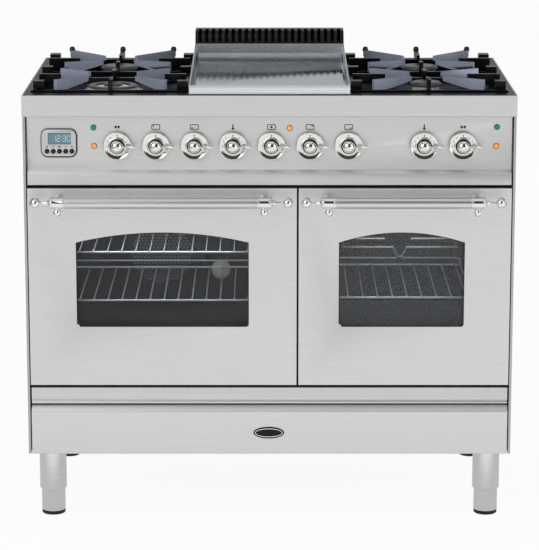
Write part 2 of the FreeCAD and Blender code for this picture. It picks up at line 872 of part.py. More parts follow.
def drawer_front():
    """The drawer's steel front, folded back at the top into a sloping grip."""
    front = body("drawer_front")
    section = sketch(front, "YZ_Plane", offset="-door_edge")
    outline(
        section,
        [
            (deep("22"), "leg_height"),
            (deep("0"), "leg_height"),
            (deep("0"), "lip_low"),
            (deep("9"), "drawer_top"),
            (deep("22"), "drawer_top"),
            (deep("22"), "drawer_top - 2"),
            (deep("10"), "drawer_top - 2"),
            (deep("2"), "lip_low - 1"),
            (deep("2"), "leg_height + 2"),
            (deep("22"), "leg_height + 2"),
        ],
    )
    pad(section, "2 * door_edge")
    return subpart(front, "drawer_front")


def drawer_box():
    """The open drawer pan, with the flanges that ride in the rails."""
    pan = body("drawer_box")
    plan = sketch(pan, "XY_Plane", offset="box_low")
    oblong(plan, "-box_half", "box_half", deep("22"), deep("box_back"))
    pad(plan, "box_high - box_low")
    hollow = sketch(pan, "XY_Plane", offset="box_low + 2")
    oblong(hollow, "2 - box_half", "box_half - 2", deep("24"), deep("box_back - 2"))
    pocket(hollow, "box_high")
    flanges = sketch(pan, "XY_Plane", offset="171")
    for sign in (-1, 1):
        left, right = sorted((sign, sign * 11.5))
        edge = f"{sign} * box_half"
        across = (f"{edge} + {left} - {sign * 1.5}", f"{edge} + {right}")
        oblong(flanges, *across, deep("34"), deep("box_back - 4"))
    pad(flanges, "3")
    return subpart(pan, "drawer_box")


# Control panel


def control_panel():
    """The steel panel: proud skirt, slope and recessed face, with its electric switches behind."""
    panel = body("panel_sheet")
    half = "body_width / 2 - side_hem"
    section = sketch(panel, "YZ_Plane", offset=f"-({half})")
    outline(
        section,
        [
            (deep("36"), "panel_low"),
            (deep("0"), "panel_low"),
            (deep("0"), "skirt_top"),
            (deep("panel_setback"), "slope_top"),
            (deep("panel_setback"), "panel_top - 2"),
            (deep("0"), "panel_top - 2"),
            (deep("0"), "panel_top"),
            (deep("panel_setback + sheet"), "panel_top"),
            (deep("panel_setback + sheet"), "slope_top - 1"),
            (deep("sheet"), "skirt_top - 1"),
            (deep("sheet"), "panel_low + 2"),
            (deep("36"), "panel_low + 2"),
        ],
    )
    pad(section, f"2 * ({half})")
    face = sketch(panel, "XZ_Plane", offset="-(" + deep("panel_setback - 1") + ")")
    for name, across, kind in KNOBS:
        polygon(face, 6, "pin_radius + 2", across, "knob_height")
    width, tall = "timer_width / 2 - 5", "timer_tall / 2 - 5"
    oblong(
        face,
        f"timer_across - ({width})",
        f"timer_across + {width}",
        f"timer_height - ({tall})",
        f"timer_height + {tall}",
    )
    pocket(face, "sheet + 2", back=True)
    switches = [panel]
    bores = []
    for name, across, kind in KNOBS:
        if kind == "electric":
            back = "panel_setback + sheet"
            edges = (f"{across} - 20", f"{across} + 20")
            level = ("knob_height - 20", "knob_height + 20")
            switches.append(box(name + "_switch", *edges, back, f"{back} + 34", *level))
            bores.append(bore(name + "_bore", 24, across, "panel_setback + sheet - 1", "knob_height", "Y"))
    return subpart(cut("control_panel", fuse("panel_with_switches", switches), bores), "control_panel")


def knob(name, across, kind):
    """A turned knob: dished dial, raised ring and domed hub, with a lever out to the right."""
    profile = [
        ("-dial_gap", "0"),
        ("-dial_gap", "dial_radius - 1"),
        ("-dial_gap - 4.5", "dial_radius"),
        ("-dial_gap - 3.5", "16.5"),
        ("-dial_gap - 7", "14"),
        ("-dial_gap - 18", "13"),
        ("-dial_gap - 23", "7"),
        ("-dial_gap - 24", "0"),
    ]
    dial = place(turned(name + "_dial", profile, 14, "Y"), across, "panel_setback", "knob_height")
    profile = [
        ("4", "0"),
        ("4", "3"),
        ("lever_length - 14", "2"),
        ("lever_length - 8", "4.7"),
        ("lever_length", "1.6"),
        ("lever_length", "0"),
    ]
    lever = turned(name + "_lever", profile, 6, "X")
    place(lever, across, "panel_setback - lever_lift", "knob_height")
    if kind == "gas":
        grip = fuse(name + "_grip", [dial, lever])
        hole = bore(name + "_socket", 15, across, "panel_setback - dial_gap - 14", "knob_height", "Y")
        return subpart(cut(name, grip, [hole]), name)
    shaft = spindle(name + "_shaft", 30, across, "panel_setback - dial_gap - 1", "knob_height", "Y")
    return subpart(fuse(name, [dial, lever, shaft]), name)


def tap_stem(name, across):
    """A gas tap's spindle, from inside the tap to inside its knob."""
    label = name.replace("knob", "stem")
    stem = spindle(label, "dial_gap + 9 + 34", across, "panel_setback - dial_gap - 9", "knob_height", "Y")
    return subpart(stem, label)


def gas_manifold():
    """The gas rail behind the panel: four taps, the pipe to the back and its threaded inlet."""
    parts = []
    bores = []
    taps = [(name, across) for name, across, kind in KNOBS if kind == "gas"]
    for name, across in taps:
        level = ("knob_height - 12", "knob_height + 12")
        parts.append(box(name + "_tap", f"{across} - 12", f"{across} + 12", "18", "pipe_depth", *level))
        bores.append(bore(name + "_tap_bore", 25, across, "17", "knob_height", "Y"))
    start = taps[0][1] - 20
    runs = (
        ("rail_pipe", f"inlet_across - ({start})", start, "X"),
        ("rear_pipe", "body_depth - pipe_depth - 20", "inlet_across", "Y"),
    )
    for name, length, across, along in runs:
        pipe = turned(name, [("0", "0"), ("0", "9"), (length, "9"), (length, "0")], 8, along)
        parts.append(place(pipe, across, "pipe_depth", "knob_height"))
    inlet = ("inlet_across", "body_depth - 20", "knob_height", "Y")
    parts.append(rod("inlet_thread", "inlet_radius", "20", *inlet))
    mouth = turned("inlet_bore", [("0", "0"), ("0", "6"), ("30", "6"), ("30", "0")], 8, "Y")
    bores.append(place(mouth, "inlet_across", "body_depth - 28", "knob_height"))
    return subpart(cut("gas_manifold", fuse("gas_rail", parts), bores), "gas_manifold")


def terminal_box():
    """The electric terminal box on the back, with a cable gland in its underside."""
    half = 45
    low, high = 705, 775
    span = (f"terminal_across - {half}", f"terminal_across + {half}")
    case = box("terminal_case", *span, "back_plane", "body_depth", low, high)
    middle = "(back_plane + body_depth) / 2"
    gland = turned("gland", [("0", "0"), ("0", "9.5"), ("16", "9.5"), ("16", "0")], 12)
    place(gland, "terminal_across", middle, low - 15)
    hole = rod("gland_hole", "gland_bore", "40", "terminal_across", middle, low - 16)
    return subpart(cut("terminal_box", fuse("terminal_solid", [case, gland]), [hole]), "terminal_box")


def timer():
    """The clock in the panel: rounded housing, display and five push buttons."""
    housing = body("timer_housing")
    proud = 3.5
    face = sketch(housing, "XZ_Plane", offset=f"{proud}")
    corner = 14
    width, tall = f"(timer_width / 2 - {corner})", f"(timer_tall / 2 - {corner})"
    corners = []
    for quarter, (right, up) in enumerate(((1, 1), (-1, 1), (-1, -1), (1, -1))):
        for step in (0, 30, 60, 90):
            turn = 90 * quarter + step
            across = f"{right} * {width} + {corner} * cos({turn})"
            corners.append((across, f"{up} * {tall} + {corner} * sin({turn})"))
    outline(face, corners)
    pad(face, f"{proud}", back=True)
    rear = sketch(housing, "XZ_Plane")
    oblong(rear, "6 - timer_width / 2", "timer_width / 2 - 6", "6 - timer_tall / 2", "timer_tall / 2 - 6")
    pad(rear, "30", back=True)
    screen = sketch(housing, "XZ_Plane", offset=f"{proud + 1}")
    oblong(screen, "-21.75", "23.75", "-1.6", "20.4")
    pocket(screen, "3", back=True)
    wells = sketch(housing, "XZ_Plane", offset=f"{proud + 1}")
    for index in range(-2, 3):
        across = f"1 + {index} * button_pitch"
        polygon(wells, 8, "button_radius + 0.2", across, "button_height - timer_height")
    pocket(wells, "9", back=True)
    place(housing, "timer_across", "panel_setback", "timer_height")
    subpart(housing, "timer_housing")
    screen_edges = ("timer_across - 21.55", "timer_across + 23.55")
    front = f"panel_setback - {proud - 0.3}"
    display = box(
        "timer_display", *screen_edges, front, f"{front} + 1.7", "timer_height - 1.4", "timer_height + 20.2"
    )
    subpart(display, "timer_display")
    for index in range(-2, 3):
        name = f"timer_button_{index + 3}"
        across = f"timer_across + 1 + {index} * button_pitch"
        profile = [("0", "0"), ("0", "button_radius"), ("7", "button_radius"), ("7", "0")]
        button = turned(name, profile, 8, "Y")
        subpart(place(button, across, f"panel_setback - {proud} - 1.6", "button_height"), name)


def indicator_lamps():
    """The five round lenses beside the knobs."""
    lenses = []
    profile = [("0", "0"), ("0", "5.5"), ("-1.6", "5.5"), ("-3.4", "3"), ("-3.4", "0")]
    for index, (across, height) in enumerate(LAMPS):
        lens = turned(f"lens_{index}", profile, 8, "Y")
        lenses.append(place(lens, across, "panel_setback", height))
    return subpart(group("indicator_lamps", lenses), "indicator_lamps")


# Hob


def hob_rim():
    """The steel band round the hob's edge."""
    rim = body("hob_rim")
    plan = sketch(rim, "XY_Plane", offset="panel_top")
    oblong(plan, "-rim_width / 2", "rim_width / 2", deep("0"), deep("hob_depth"))
    oblong(plan, "3 - rim_width / 2", "rim_width / 2 - 3", deep("3"), deep("hob_depth - 3"))
    pad(plan, "rim_top - panel_top")
    return subpart(rim, "hob_rim")


def hob_tray():
    """The pressed enamel top: a flange, a deep well on each side and the holes for what it carries."""
    tray = body("hob_tray")
    flange = sketch(tray, "XY_Plane", offset="rim_top - 2")
    oblong(flange, "3 - rim_width / 2", "rim_width / 2 - 3", deep("3"), deep("hob_depth - 3"))
    pad(flange, "2")
    walls = sketch(tray, "XY_Plane", offset="well_floor - 2")
    wells = sketch(tray, "XY_Plane", offset="well_floor")
    for sign in (-1, 1):
        for profile, grow in ((walls, 2), (wells, 0)):
            ends = (f"{sign} * (well_inner - {grow})", f"{sign} * (well_outer + {grow})")
            left, right = ends if sign > 0 else ends[::-1]
            oblong(profile, left, right, deep(f"well_front - {grow}"), deep(f"well_back + {grow}"))
    pad(walls, "rim_top - 1 - well_floor + 2")
    pocket(wells, "rim_top")
    holes = sketch(tray, "XY_Plane", offset="well_floor - 3")
    for sign in (-1, 1):
        for depth in ("front_burner", "back_burner"):
            polygon(holes, 8, "29.6", f"{sign} * burner_across", deep(depth))
    oblong(holes, "-148", "148", deep("24"), deep("478"))
    pocket(holes, "30")
    return subpart(tray, "hob_tray")


def burners():
    """Four gas burners: cups with ported crowns, and the loose caps that lie on them."""
    crowns = []
    caps = []
    plain = {"rear_left": (-1, "back_burner", 40), "front_right": (1, "front_burner", 33)}
    plain["rear_right"] = (1, "back_burner", 40)
    cup = [("-30", "0"), ("-30", "22"), ("0", "29")]
    for name, (sign, depth, radius) in plain.items():
        edge = radius - 6
        skirt = [("0", radius + 4), ("3", radius + 4), ("7", edge), ("15", edge), ("15", "0")]
        solid = turned("crown_solid_" + name, cup + skirt, 16)
        ports = []
        for index in range(8):
            port = doc.addObject("Part::Box", f"port_{name}_{index}")
            port.Length, port.Width, port.Height = 10, 3, 6
            turn = FreeCAD.Rotation(FreeCAD.Vector(0, 0, 1), 45 * index)
            port.Placement = FreeCAD.Placement(turn.multVec(FreeCAD.Vector(edge - 5, -1.5, 10)), turn)
            ports.append(port)
        crown = cut("crown_" + name, solid, ports)
        crowns.append(place(crown, f"{sign} * burner_across", depth, "well_floor"))
        lid = [("15", "0"), ("15", radius - 1), ("21", radius), ("24.5", radius - 4), ("25", "0")]
        cap = turned("cap_" + name, lid, 16)
        caps.append(place(cap, f"{sign} * burner_across", depth, "well_floor"))
    dish = [("0", "68"), ("3", "70"), ("4", "55"), ("13", "53"), ("13", "36"), ("4", "34"), ("4", "19")]
    wide = turned("crown_front_left", cup + dish + [("15", "17"), ("15", "0")], 16)
    crowns.append(place(wide, "-burner_across", "front_burner", "well_floor"))
    lid = [("15", "0"), ("15", "19"), ("19", "20"), ("21", "17"), ("21.4", "0")]
    middle = turned("cap_front_left", lid, 14)
    caps.append(place(middle, "-burner_across", "front_burner", "well_floor"))
    lid = [("13", "36"), ("13", "53"), ("17.5", "50"), ("17.5", "39")]
    outer = turned("cap_front_left_ring", lid, 16)
    caps.append(place(outer, "-burner_across", "front_burner", "well_floor"))
    subpart(group("burner_crowns", crowns), "burner_crowns")
    subpart(group("burner_caps", caps), "burner_caps")


def grate_finger(name, outer, inner, tall=27):
    """One tapering finger: deep at its outer end, shallow and narrow over the burner."""
    finger = doc.addObject("Part::Wedge", name)
    run = ((inner[0] - outer[0]) ** 2 + (inner[1] - outer[1]) ** 2) ** 0.5
    half, tip = 4.5, 3.5
    finger.Xmin, finger.Xmax = -half, half
    finger.X2min, finger.X2max = -tip, tip
    finger.Ymin, finger.Ymax = 0, run
    finger.Z2min, finger.Z2max = tall - 10, tall
    finger.Zmin, finger.Zmax = 0, tall
    heading = FreeCAD.Vector(inner[0] - outer[0], inner[1] - outer[1], 0)
    finger.Placement.Rotation = FreeCAD.Rotation(FreeCAD.Vector(0, 1, 0), heading)
    return place(finger, outer[0], outer[1], f"grate_top - {tall}")


def pan_support(side, sign):
    """A cast pan support over two burners: rails, feet, and eight wedge fingers round each burner."""
    rails = body("rails_" + side)
    front, back = 50, 540
    inner, outer = "well_inner + 4", "well_outer - 3"
    width = 9
    plan = sketch(rails, "XY_Plane", offset="grate_rail - 12")

    def edges(low, high):
        ends = (f"{sign} * ({low})", f"{sign} * ({high})")
        return ends if sign > 0 else ends[::-1]

    oblong(plan, *edges(inner, outer), deep(front), deep(back))
    for start, end in ((front + width, 232), (232 + width, 326), (326 + width, back - width)):
        oblong(plan, *edges(f"{inner} + {width}", f"{outer} - {width}"), deep(start), deep(end))
    pad(plan, "12")
    feet = sketch(rails, "XY_Plane", offset="well_floor")
    for low, high in ((inner, f"{inner} + {width}"), (f"{outer} - {width}", outer)):
        for depth in (front, 282, back - 14):
            oblong(feet, *edges(low, high), deep(depth), deep(depth + 14))
    pad(feet, "grate_rail - 12 - well_floor")
    lugs = sketch(rails, "XY_Plane", offset="grate_rail - 6")
    for depth, length in ((82, 22), (300, 22), (505, 30)):
        oblong(lugs, *edges(f"{outer} - 22", outer), deep(depth), deep(depth + length))
        oblong(lugs, *edges(inner, f"{inner} + 22"), deep(depth), deep(depth + length))
    pad(lugs, "20")
    middle = sign * value("burner_across")
    fingers = [rails]
    wide = side == "left"
    for place_name, depth, reach in (("front", 150, (-91, 86)), ("rear", 400, (-70, 133))):
        near = 50 if wide and place_name == "front" else 34
        lateral = 107 if wide and place_name == "front" else 85
        for dx in (-1, 1):
            for dy in reach:
                inner_end = (middle + dx * near, depth + (34 if dy > 0 else -34))
                name = f"finger_{side}_{place_name}_{dx}_{dy}"
                fingers.append(grate_finger(name, (middle + dx * 112, depth + dy), inner_end))
            name = f"finger_{side}_{place_name}_side_{dx}"
            fingers.append(grate_finger(name, (middle + dx * 152, depth), (middle + dx * lateral, depth)))
        for dy in reach:
            inner_end = (middle, depth + (44 if dy > 0 else -44))
            name = f"finger_{side}_{place_name}_centre_{dy}"
            fingers.append(grate_finger(name, (middle, depth + dy), inner_end))
    for dx in (-1, 0, 1):
        tip = turned(f"tip_{side}_{dx}", [("0", "0"), ("0", "6"), ("9", "6"), ("9", "0")], 8, "X")
        fingers.append(place(tip, middle + dx * 112 - 4.5, back - 5, "grate_top + 2"))
    name = "pan_support_" + side
    return subpart(fuse(name, fingers, refine=False), name)


def griddle():
    """The griddle: a wedge-sided steel surround and the thick plate inside it."""
    surround = body("griddle_surround")
    half = "griddle_half"
    section = sketch(surround, "YZ_Plane", offset=f"-{half}")
    outline(
        section,
        [
            (deep("griddle_front"), "rim_top"),
            (deep("griddle_back"), "rim_top"),
            (deep("griddle_back"), "griddle_high"),
            (deep("griddle_front + 5"), "griddle_low"),
            (deep("griddle_front"), "griddle_low - 5"),
        ],
    )
    pad(section, f"2 * {half}")
    well = sketch(surround, "XY_Plane", offset="rim_top - 1")
    oblong(well, f"3 - {half}", f"{half} - 3", deep("griddle_front + 3"), deep("griddle_back - 3"))
    pocket(well, "100")
    subpart(surround, "griddle_surround")
    plate = body("griddle_plate")
    plan = sketch(plate, "XY_Plane", offset="rim_top")
    oblong(plan, f"3.5 - {half}", f"{half} - 3.5", deep("griddle_front + 3.5"), deep("griddle_back - 3.5"))
    pad(plan, "10")
    gutter = sketch(plate, "XY_Plane", offset="rim_top + 6")
    oblong(gutter, f"14 - {half}", f"{half} - 14", deep("griddle_front + 10"), deep("griddle_front + 34"))
    pocket(gutter, "10")
    subpart(plate, "griddle_plate")


def vent_grille():
    """The oven flue's outlet: a rounded steel cowl with a row of slots over its front bend."""
    cowl = body("vent_grille")
    half = "griddle_half"
    gauge = 2

    def section(profile, inset):
        low = "rim_top" if not inset else "rim_top - 1"
        bend = f"(vent_round - {inset})"
        turns = (0, 90) if inset else (0, 45, 90)
        rounded = [(f"{bend} * (1 - cos({a}))", f"{bend} * (1 - sin({a}))") for a in turns]
        corners = [(deep(f"vent_front + {inset}"), low)]
        for along, down in rounded:
            corners.append((deep(f"vent_front + {inset} + {along}"), f"vent_top - {inset} - {down}"))
        for along, down in reversed(rounded):
            corners.append((deep(f"vent_back - {inset} - {along}"), f"vent_top - {inset} - {down}"))
        outline(profile, corners + [(deep(f"vent_back - {inset}"), low)])

    outer = sketch(cowl, "YZ_Plane", offset=f"-{half}")
    section(outer, 0)
    pad(outer, f"2 * {half}")
    inner = sketch(cowl, "YZ_Plane", offset=f"{gauge} - {half}")
    section(inner, gauge)
    pocket(inner, f"2 * ({half} - {gauge})")
    count = 22
    slots = sketch(cowl, "XY_Plane", offset="griddle_high + 2")
    start = f"-{(count - 1) / 2} * vent_pitch"
    ends = (f"{start} - vent_slot / 2", f"{start} + vent_slot / 2")
    oblong(slots, *ends, deep("vent_front - 2"), deep("vent_front + 46"))
    slot = pocket(slots, "60")
    row(slot, slots, "H_Axis", f"{count - 1} * vent_pitch", count)
    return subpart(cowl, "vent_grille")


# Legs


def legs():
    """Four round legs: a sleeve that narrows to the shank, on a rubber foot."""
    sleeves = []
    feet = []
    for name, sign, depth in (
        ("front_left", -1, "front_leg"),
        ("front_right", 1, "front_leg"),
        ("back_left", -1, "back_leg"),
        ("back_right", 1, "back_leg"),
    ):
        tube = [
            ("foot_height", "0"),
            ("foot_height", "shank_radius"),
            ("53", "shank_radius"),
            ("56", "sleeve_radius"),
            ("leg_height", "sleeve_radius"),
            ("leg_height", "0"),
        ]
        sleeve = turned("sleeve_" + name, tube, 16)
        sleeves.append(place(sleeve, f"{sign} * leg_across", depth, "0"))
        profile = [("0", "0"), ("0", "shank_radius - 1")]
        profile += [("foot_height", "shank_radius"), ("foot_height", "0")]
        foot = turned("foot_" + name, profile, 16)
        feet.append(place(foot, f"{sign} * leg_across", depth, "0"))
    subpart(group("leg_sleeves", sleeves), "leg_sleeves")
    subpart(group("leg_feet", feet), "leg_feet")


# The cooker

side_panel("left", -1)
side_panel("right", 1)
back_panel()
base_tray()
trim_strip()
front_frame()
door_seals()
for oven in ("left", "right"):
    oven_liner(oven)
    door_panel(oven)
    door_inner_frame(oven)
    door_glass(oven)
    door_handle(oven)
oven_racks()
heating_elements()
fan_baffle()
fan_wheel()
fan_motor()
oven_lamps()
drawer_front()
drawer_box()
control_panel()
for knob_name, knob_across, knob_kind in KNOBS:
    knob(knob_name, knob_across, knob_kind)
    if knob_kind == "gas":
        tap_stem(knob_name, knob_across)
gas_manifold()
terminal_box()
timer()
indicator_lamps()
hob_rim()
hob_tray()
burners()
pan_support("left", -1)
pan_support("right", 1)
griddle()
vent_grille()
legs()
doc.recompute()

for thing in doc.Objects:
    if "Invalid" in thing.State or "Error" in thing.State:
        raise RuntimeError(f"{thing.Label} failed: {thing.State}")
    if thing.TypeId == "PartDesign::Pocket" and thing.Shape.Volume >= thing.BaseFeature.Shape.Volume - 1e-6:
        raise RuntimeError(f"{thing.Label} cuts nothing")
for thing in subparts:
    if thing.Shape.isNull() or not thing.Shape.isValid():
        raise RuntimeError(f"{thing.Label} has no valid shape")

os.makedirs("parts", exist_ok=True)
for thing in subparts:
    thing.Shape.exportStep(f"parts/{thing.Label}.step")
print(f"{len(subparts)} sub-parts written")
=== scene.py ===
import math
import bmesh
import bpy
import numpy as np
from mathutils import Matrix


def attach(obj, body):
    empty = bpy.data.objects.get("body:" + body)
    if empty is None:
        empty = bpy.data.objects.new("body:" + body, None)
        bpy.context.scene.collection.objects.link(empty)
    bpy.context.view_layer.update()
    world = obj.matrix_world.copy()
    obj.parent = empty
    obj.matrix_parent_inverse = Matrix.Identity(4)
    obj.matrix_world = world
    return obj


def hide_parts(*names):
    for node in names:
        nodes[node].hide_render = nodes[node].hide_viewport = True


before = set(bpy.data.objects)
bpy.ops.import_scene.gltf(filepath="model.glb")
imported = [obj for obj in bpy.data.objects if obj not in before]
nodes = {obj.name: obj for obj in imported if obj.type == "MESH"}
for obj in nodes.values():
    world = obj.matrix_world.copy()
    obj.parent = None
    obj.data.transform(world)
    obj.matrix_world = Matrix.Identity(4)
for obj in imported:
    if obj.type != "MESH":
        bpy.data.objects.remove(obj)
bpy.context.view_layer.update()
doorPlane = -271.0  # Y of the door fronts in mm; every depth below is counted from it
panelBack = 7  # the control panel's face stands this much behind the doors
panelFace = doorPlane + panelBack
print("frame loaded,", len(nodes), "nodes")


# surfaces


def softCorners(corners, steps=5):
    # a corner (u, v, cut) becomes a parabola between the points that lie cut away on its two
    # edges: (1-t)^2 start + 2t(1-t) corner + t^2 end; a corner without cut stays sharp
    spots = np.array([c[:2] for c in corners], float)
    cuts = np.array([c[2] if len(c) > 2 else 0.0 for c in corners])[:, None]
    back = np.roll(spots, 1, 0) - spots
    ahead = np.roll(spots, -1, 0) - spots
    start = spots + back / np.maximum(np.linalg.norm(back, axis=1), 1e-9)[:, None] * cuts
    end = spots + ahead / np.maximum(np.linalg.norm(ahead, axis=1), 1e-9)[:, None] * cuts
    t = np.linspace(0, 1, steps)[None, :, None]
    curve = (1 - t) ** 2 * start[:, None] + 2 * t * (1 - t) * spots[:, None] + t**2 * end[:, None]
    return np.concatenate([c if cut > 0 else c[:1] for c, cut in zip(curve, cuts[:, 0])])


def ballArc(centre, radius, first, last, steps=12):
    # points on a circle about (centre, 0): (centre + r sin a, r cos a), a from first to last
    a = np.radians(np.linspace(first, last, steps))
    return np.stack([centre + radius * np.sin(a), radius * np.cos(a)], 1)


def turned(profile, sides=48):
    # the profile's (along, radius) points carried round the axis: (r cos a, r sin a, along)
    a = np.arange(sides) * 2 * np.pi / sides
    along, radius = np.asarray(profile, float).T[..., None]
    return np.stack([radius * np.cos(a), radius * np.sin(a), along + 0 * a], -1)


def towards(points, way):
    # a proper turn of the turned form's axis, from +Z to the way it points
    x, y, z = np.moveaxis(points, -1, 0)
    turns = {
        "up": (x, y, z),
        "right": (z, x, y),
        "left": (-z, -x, y),
        "front": (x, -z, y),
    }
    return np.stack(turns[way], -1)


def facing(profile, sides):
    return towards(turned(profile, sides), "front")


def domeArc(foot, rise, radius, first, steps):
    # a quarter of an ellipse seen from the side: (foot + rise sin a, radius cos a)
    a = np.linspace(first, np.pi / 2, steps)
    return np.stack([foot + rise * np.sin(a), radius * np.cos(a)], 1)


def tube(path, radius, sides=10):
    # a ring square to the path at each point: p + r (cos a side + sin a over), with over taken
    # from the steadiest direction of the whole path; the ends close on the path itself
    path = np.asarray(path, float)
    along = np.gradient(path, axis=0)
    along /= np.linalg.norm(along, axis=1)[:, None]
    spread = np.abs(along).max(0)
    pole = np.eye(3)[np.argmin(spread)]
    side = np.cross(along, pole)
    side /= np.linalg.norm(side, axis=1)[:, None]
    over = np.cross(side, along)
    a = np.arange(sides)[None, :, None] * 2 * np.pi / sides
    r = np.broadcast_to(np.asarray(radius, float), (len(path),))[:, None, None]
    rings = path[:, None] + r * (np.cos(a) * side[:, None] + np.sin(a) * over[:, None])
    caps = np.broadcast_to(path[[0, -1], None], (2, sides, 3))
    return np.concatenate([caps[:1], rings, caps[1:]])


def archedLoop(middle, half, low, corner, peak, bend, steps=24):
    # foot corners are quarter rounds of the given bend; the head is an arc of the radius
    # (half^2 + rise^2) / (2 rise), with points middle + R sin a, peak - R + R cos a
    rise = peak - corner
    radius = (half**2 + rise**2) / (2 * rise)
    a = np.linspace(1, -1, steps) * math.asin(half / radius)
    head = np.stack([middle + radius * np.sin(a), peak - radius + radius * np.cos(a)], 1)
    q = np.radians(np.linspace(180, 270, 7))
    foot = np.stack([middle - half + bend + bend * np.cos(q), low + bend + bend * np.sin(q)], 1)
    return np.concatenate([head, foot, (foot * (-1, 1) + (2 * middle, 0))[::-1]])


def roundedLoop(middle, level, width, tall, bend, steps=6):
    # four quarter rounds: centre + half sizes less the bend + bend (cos a, sin a)
    a = np.radians(np.linspace(0, 90, steps))[None] + np.radians([0, 90, 180, 270])[:, None]
    signs = np.array([(1, 1), (-1, 1), (-1, -1), (1, -1)])
    centres = np.array([middle, level]) + signs * (width / 2 - bend, tall / 2 - bend)
    return (centres[:, None] + bend * np.stack([np.cos(a), np.sin(a)], -1)).reshape(-1, 2)


def ovalLoop(middle, level, wide, tall, sides=24):
    # points of an ellipse: middle + wide/2 cos a, level + tall/2 sin a
    a = np.arange(sides) * 2 * np.pi / sides
    return np.stack([middle + wide / 2 * np.cos(a), level + tall / 2 * np.sin(a)], 1)


def readSpots(mesh):
    spots = np.empty(len(mesh.vertices) * 3, np.float32)
    mesh.vertices.foreach_get("co", spots)
    return spots.reshape(-1, 3)


def weld(mesh, flatten=False, outward=True):
    # joins points that coincide; flatten also merges triangles that lie in one plane, and
    # outward turns every face to the outside
    work = bmesh.new()
    work.from_mesh(mesh)
    bmesh.ops.remove_doubles(work, verts=work.verts, dist=2e-6)
    if flatten:
        plane = math.radians(1.5)
        bmesh.ops.dissolve_limit(work, angle_limit=plane, verts=work.verts, edges=work.edges)
    if outward:
        bmesh.ops.recalc_face_normals(work, faces=work.faces)
    work.to_mesh(mesh)
    work.free()


def platePiece(name, loops, front, thick, body, finish, edge=0.0, **named):
    # a flat plate in X and Z whose inner loops are holes, with its front at the given depth; the
    # filled curve stands up as (x, y, z) -> (x, -z, y), a quarter turn about X
    flat = bpy.data.curves.new(name, "CURVE")
    flat.dimensions, flat.fill_mode = "2D", "BOTH"
    flat.extrude = (thick / 2 - edge) / 1000
    flat.bevel_depth, flat.bevel_resolution, flat.offset = edge / 1000, 1, -edge / 1000
    for loop in loops:
        line = flat.splines.new("POLY")
        line.points.add(len(loop) - 1)
        rows = np.zeros((len(loop), 4), np.float32)
        rows[:, :2] = np.asarray(loop) / 1000
        line.points.foreach_set("co", rows.ravel())
        line.use_cyclic_u = True
    holder = bpy.data.objects.new(name, flat)
    mesh = bpy.data.meshes.new_from_object(holder)
    bpy.data.objects.remove(holder)
    x, y, z = readSpots(mesh).T
    centre = (doorPlane + front + thick / 2) / 1000
    mesh.vertices.foreach_set("co", np.stack([x, centre - z, y], 1).astype(np.float32).ravel())
    weld(mesh)
    return finishPiece(name, mesh, body, finish, **named)


def makePiece(name, grids, body, finish, *choices, **named):
    # every grid of points (rows, columns, 3) in mm closes on itself across its columns; rings
    # that meet in one point are merged into a pole
    spots, faces, count = [], [], 0
    for grid in grids:
        rows, columns = grid.shape[:2]
        here = count + np.arange(rows * columns).reshape(rows, columns)
        after = np.roll(here, -1, 1)
        faces.append(np.stack([here[:-1], after[:-1], after[1:], here[1:]], -1).reshape(-1, 4))
        spots.append(grid.reshape(-1, 3))
        count += rows * columns
    mesh = bpy.data.meshes.new(name)
    mesh.from_pydata(np.concatenate(spots) / 1000, [], np.concatenate(faces).tolist())
    weld(mesh)
    return finishPiece(name, mesh, body, finish, *choices, **named)


def finishPiece(name, mesh, body, finish, replaces=(), slot=None, crease=38, softer=0.0):
    mesh.polygons.foreach_set("use_smooth", np.ones(len(mesh.polygons), bool))
    mesh.set_sharp_from_angle(angle=math.radians(crease))
    mesh.materials.clear()
    mesh.materials.append(finishes[finish])
    piece = bpy.data.objects.new(name, mesh)
    bpy.context.scene.collection.objects.link(piece)
    if softer > 0:
        edge = piece.modifiers.new("softEdges", "BEVEL")
        edge.width, edge.segments, edge.limit_method = softer, 2, "ANGLE"
        edge.angle_limit = math.radians(35)
        edge.harden_normals = True
    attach(piece, body)
    if replaces:
        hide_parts(*replaces)
    return piece


def refinedCopy(node, name, body, finish, softer, narrower, edgeHighlight):
    # the CAD solid's own shape with its edges broken: its triangles are merged to flat faces
    # and each edge sharper than 35 degrees becomes a small round; narrower draws both ends in;
    # the door panels keep their triangles, because merged ones cut the front frame when open
    mesh = nodes[node].data.copy()
    spots = readSpots(mesh)
    reach = np.abs(spots[:, 0]).max()
    spots[:, 0] -= np.sign(spots[:, 0]) * narrower * (np.abs(spots[:, 0]) > reach - 0.001)
    mesh.vertices.foreach_set("co", spots.ravel())
    weld(mesh, flatten=not node.startswith("door"), outward=False)
    piece = finishPiece(name, mesh, body, finish, (node,), softer=softer)
    # the rounds can take a second finish, a paler metal that paints a highlight along the edges
    if edgeHighlight:
        mesh.materials.append(finishes[edgeHighlight])
        piece.modifiers["softEdges"].material = 1
    return piece


# finishes


def srgb(red, green, blue):
    # the linear value of a screen colour: (c / 255) raised to 2.2, near enough
    return tuple((c / 255) ** 2.2 for c in (red, green, blue)) + (1.0,)


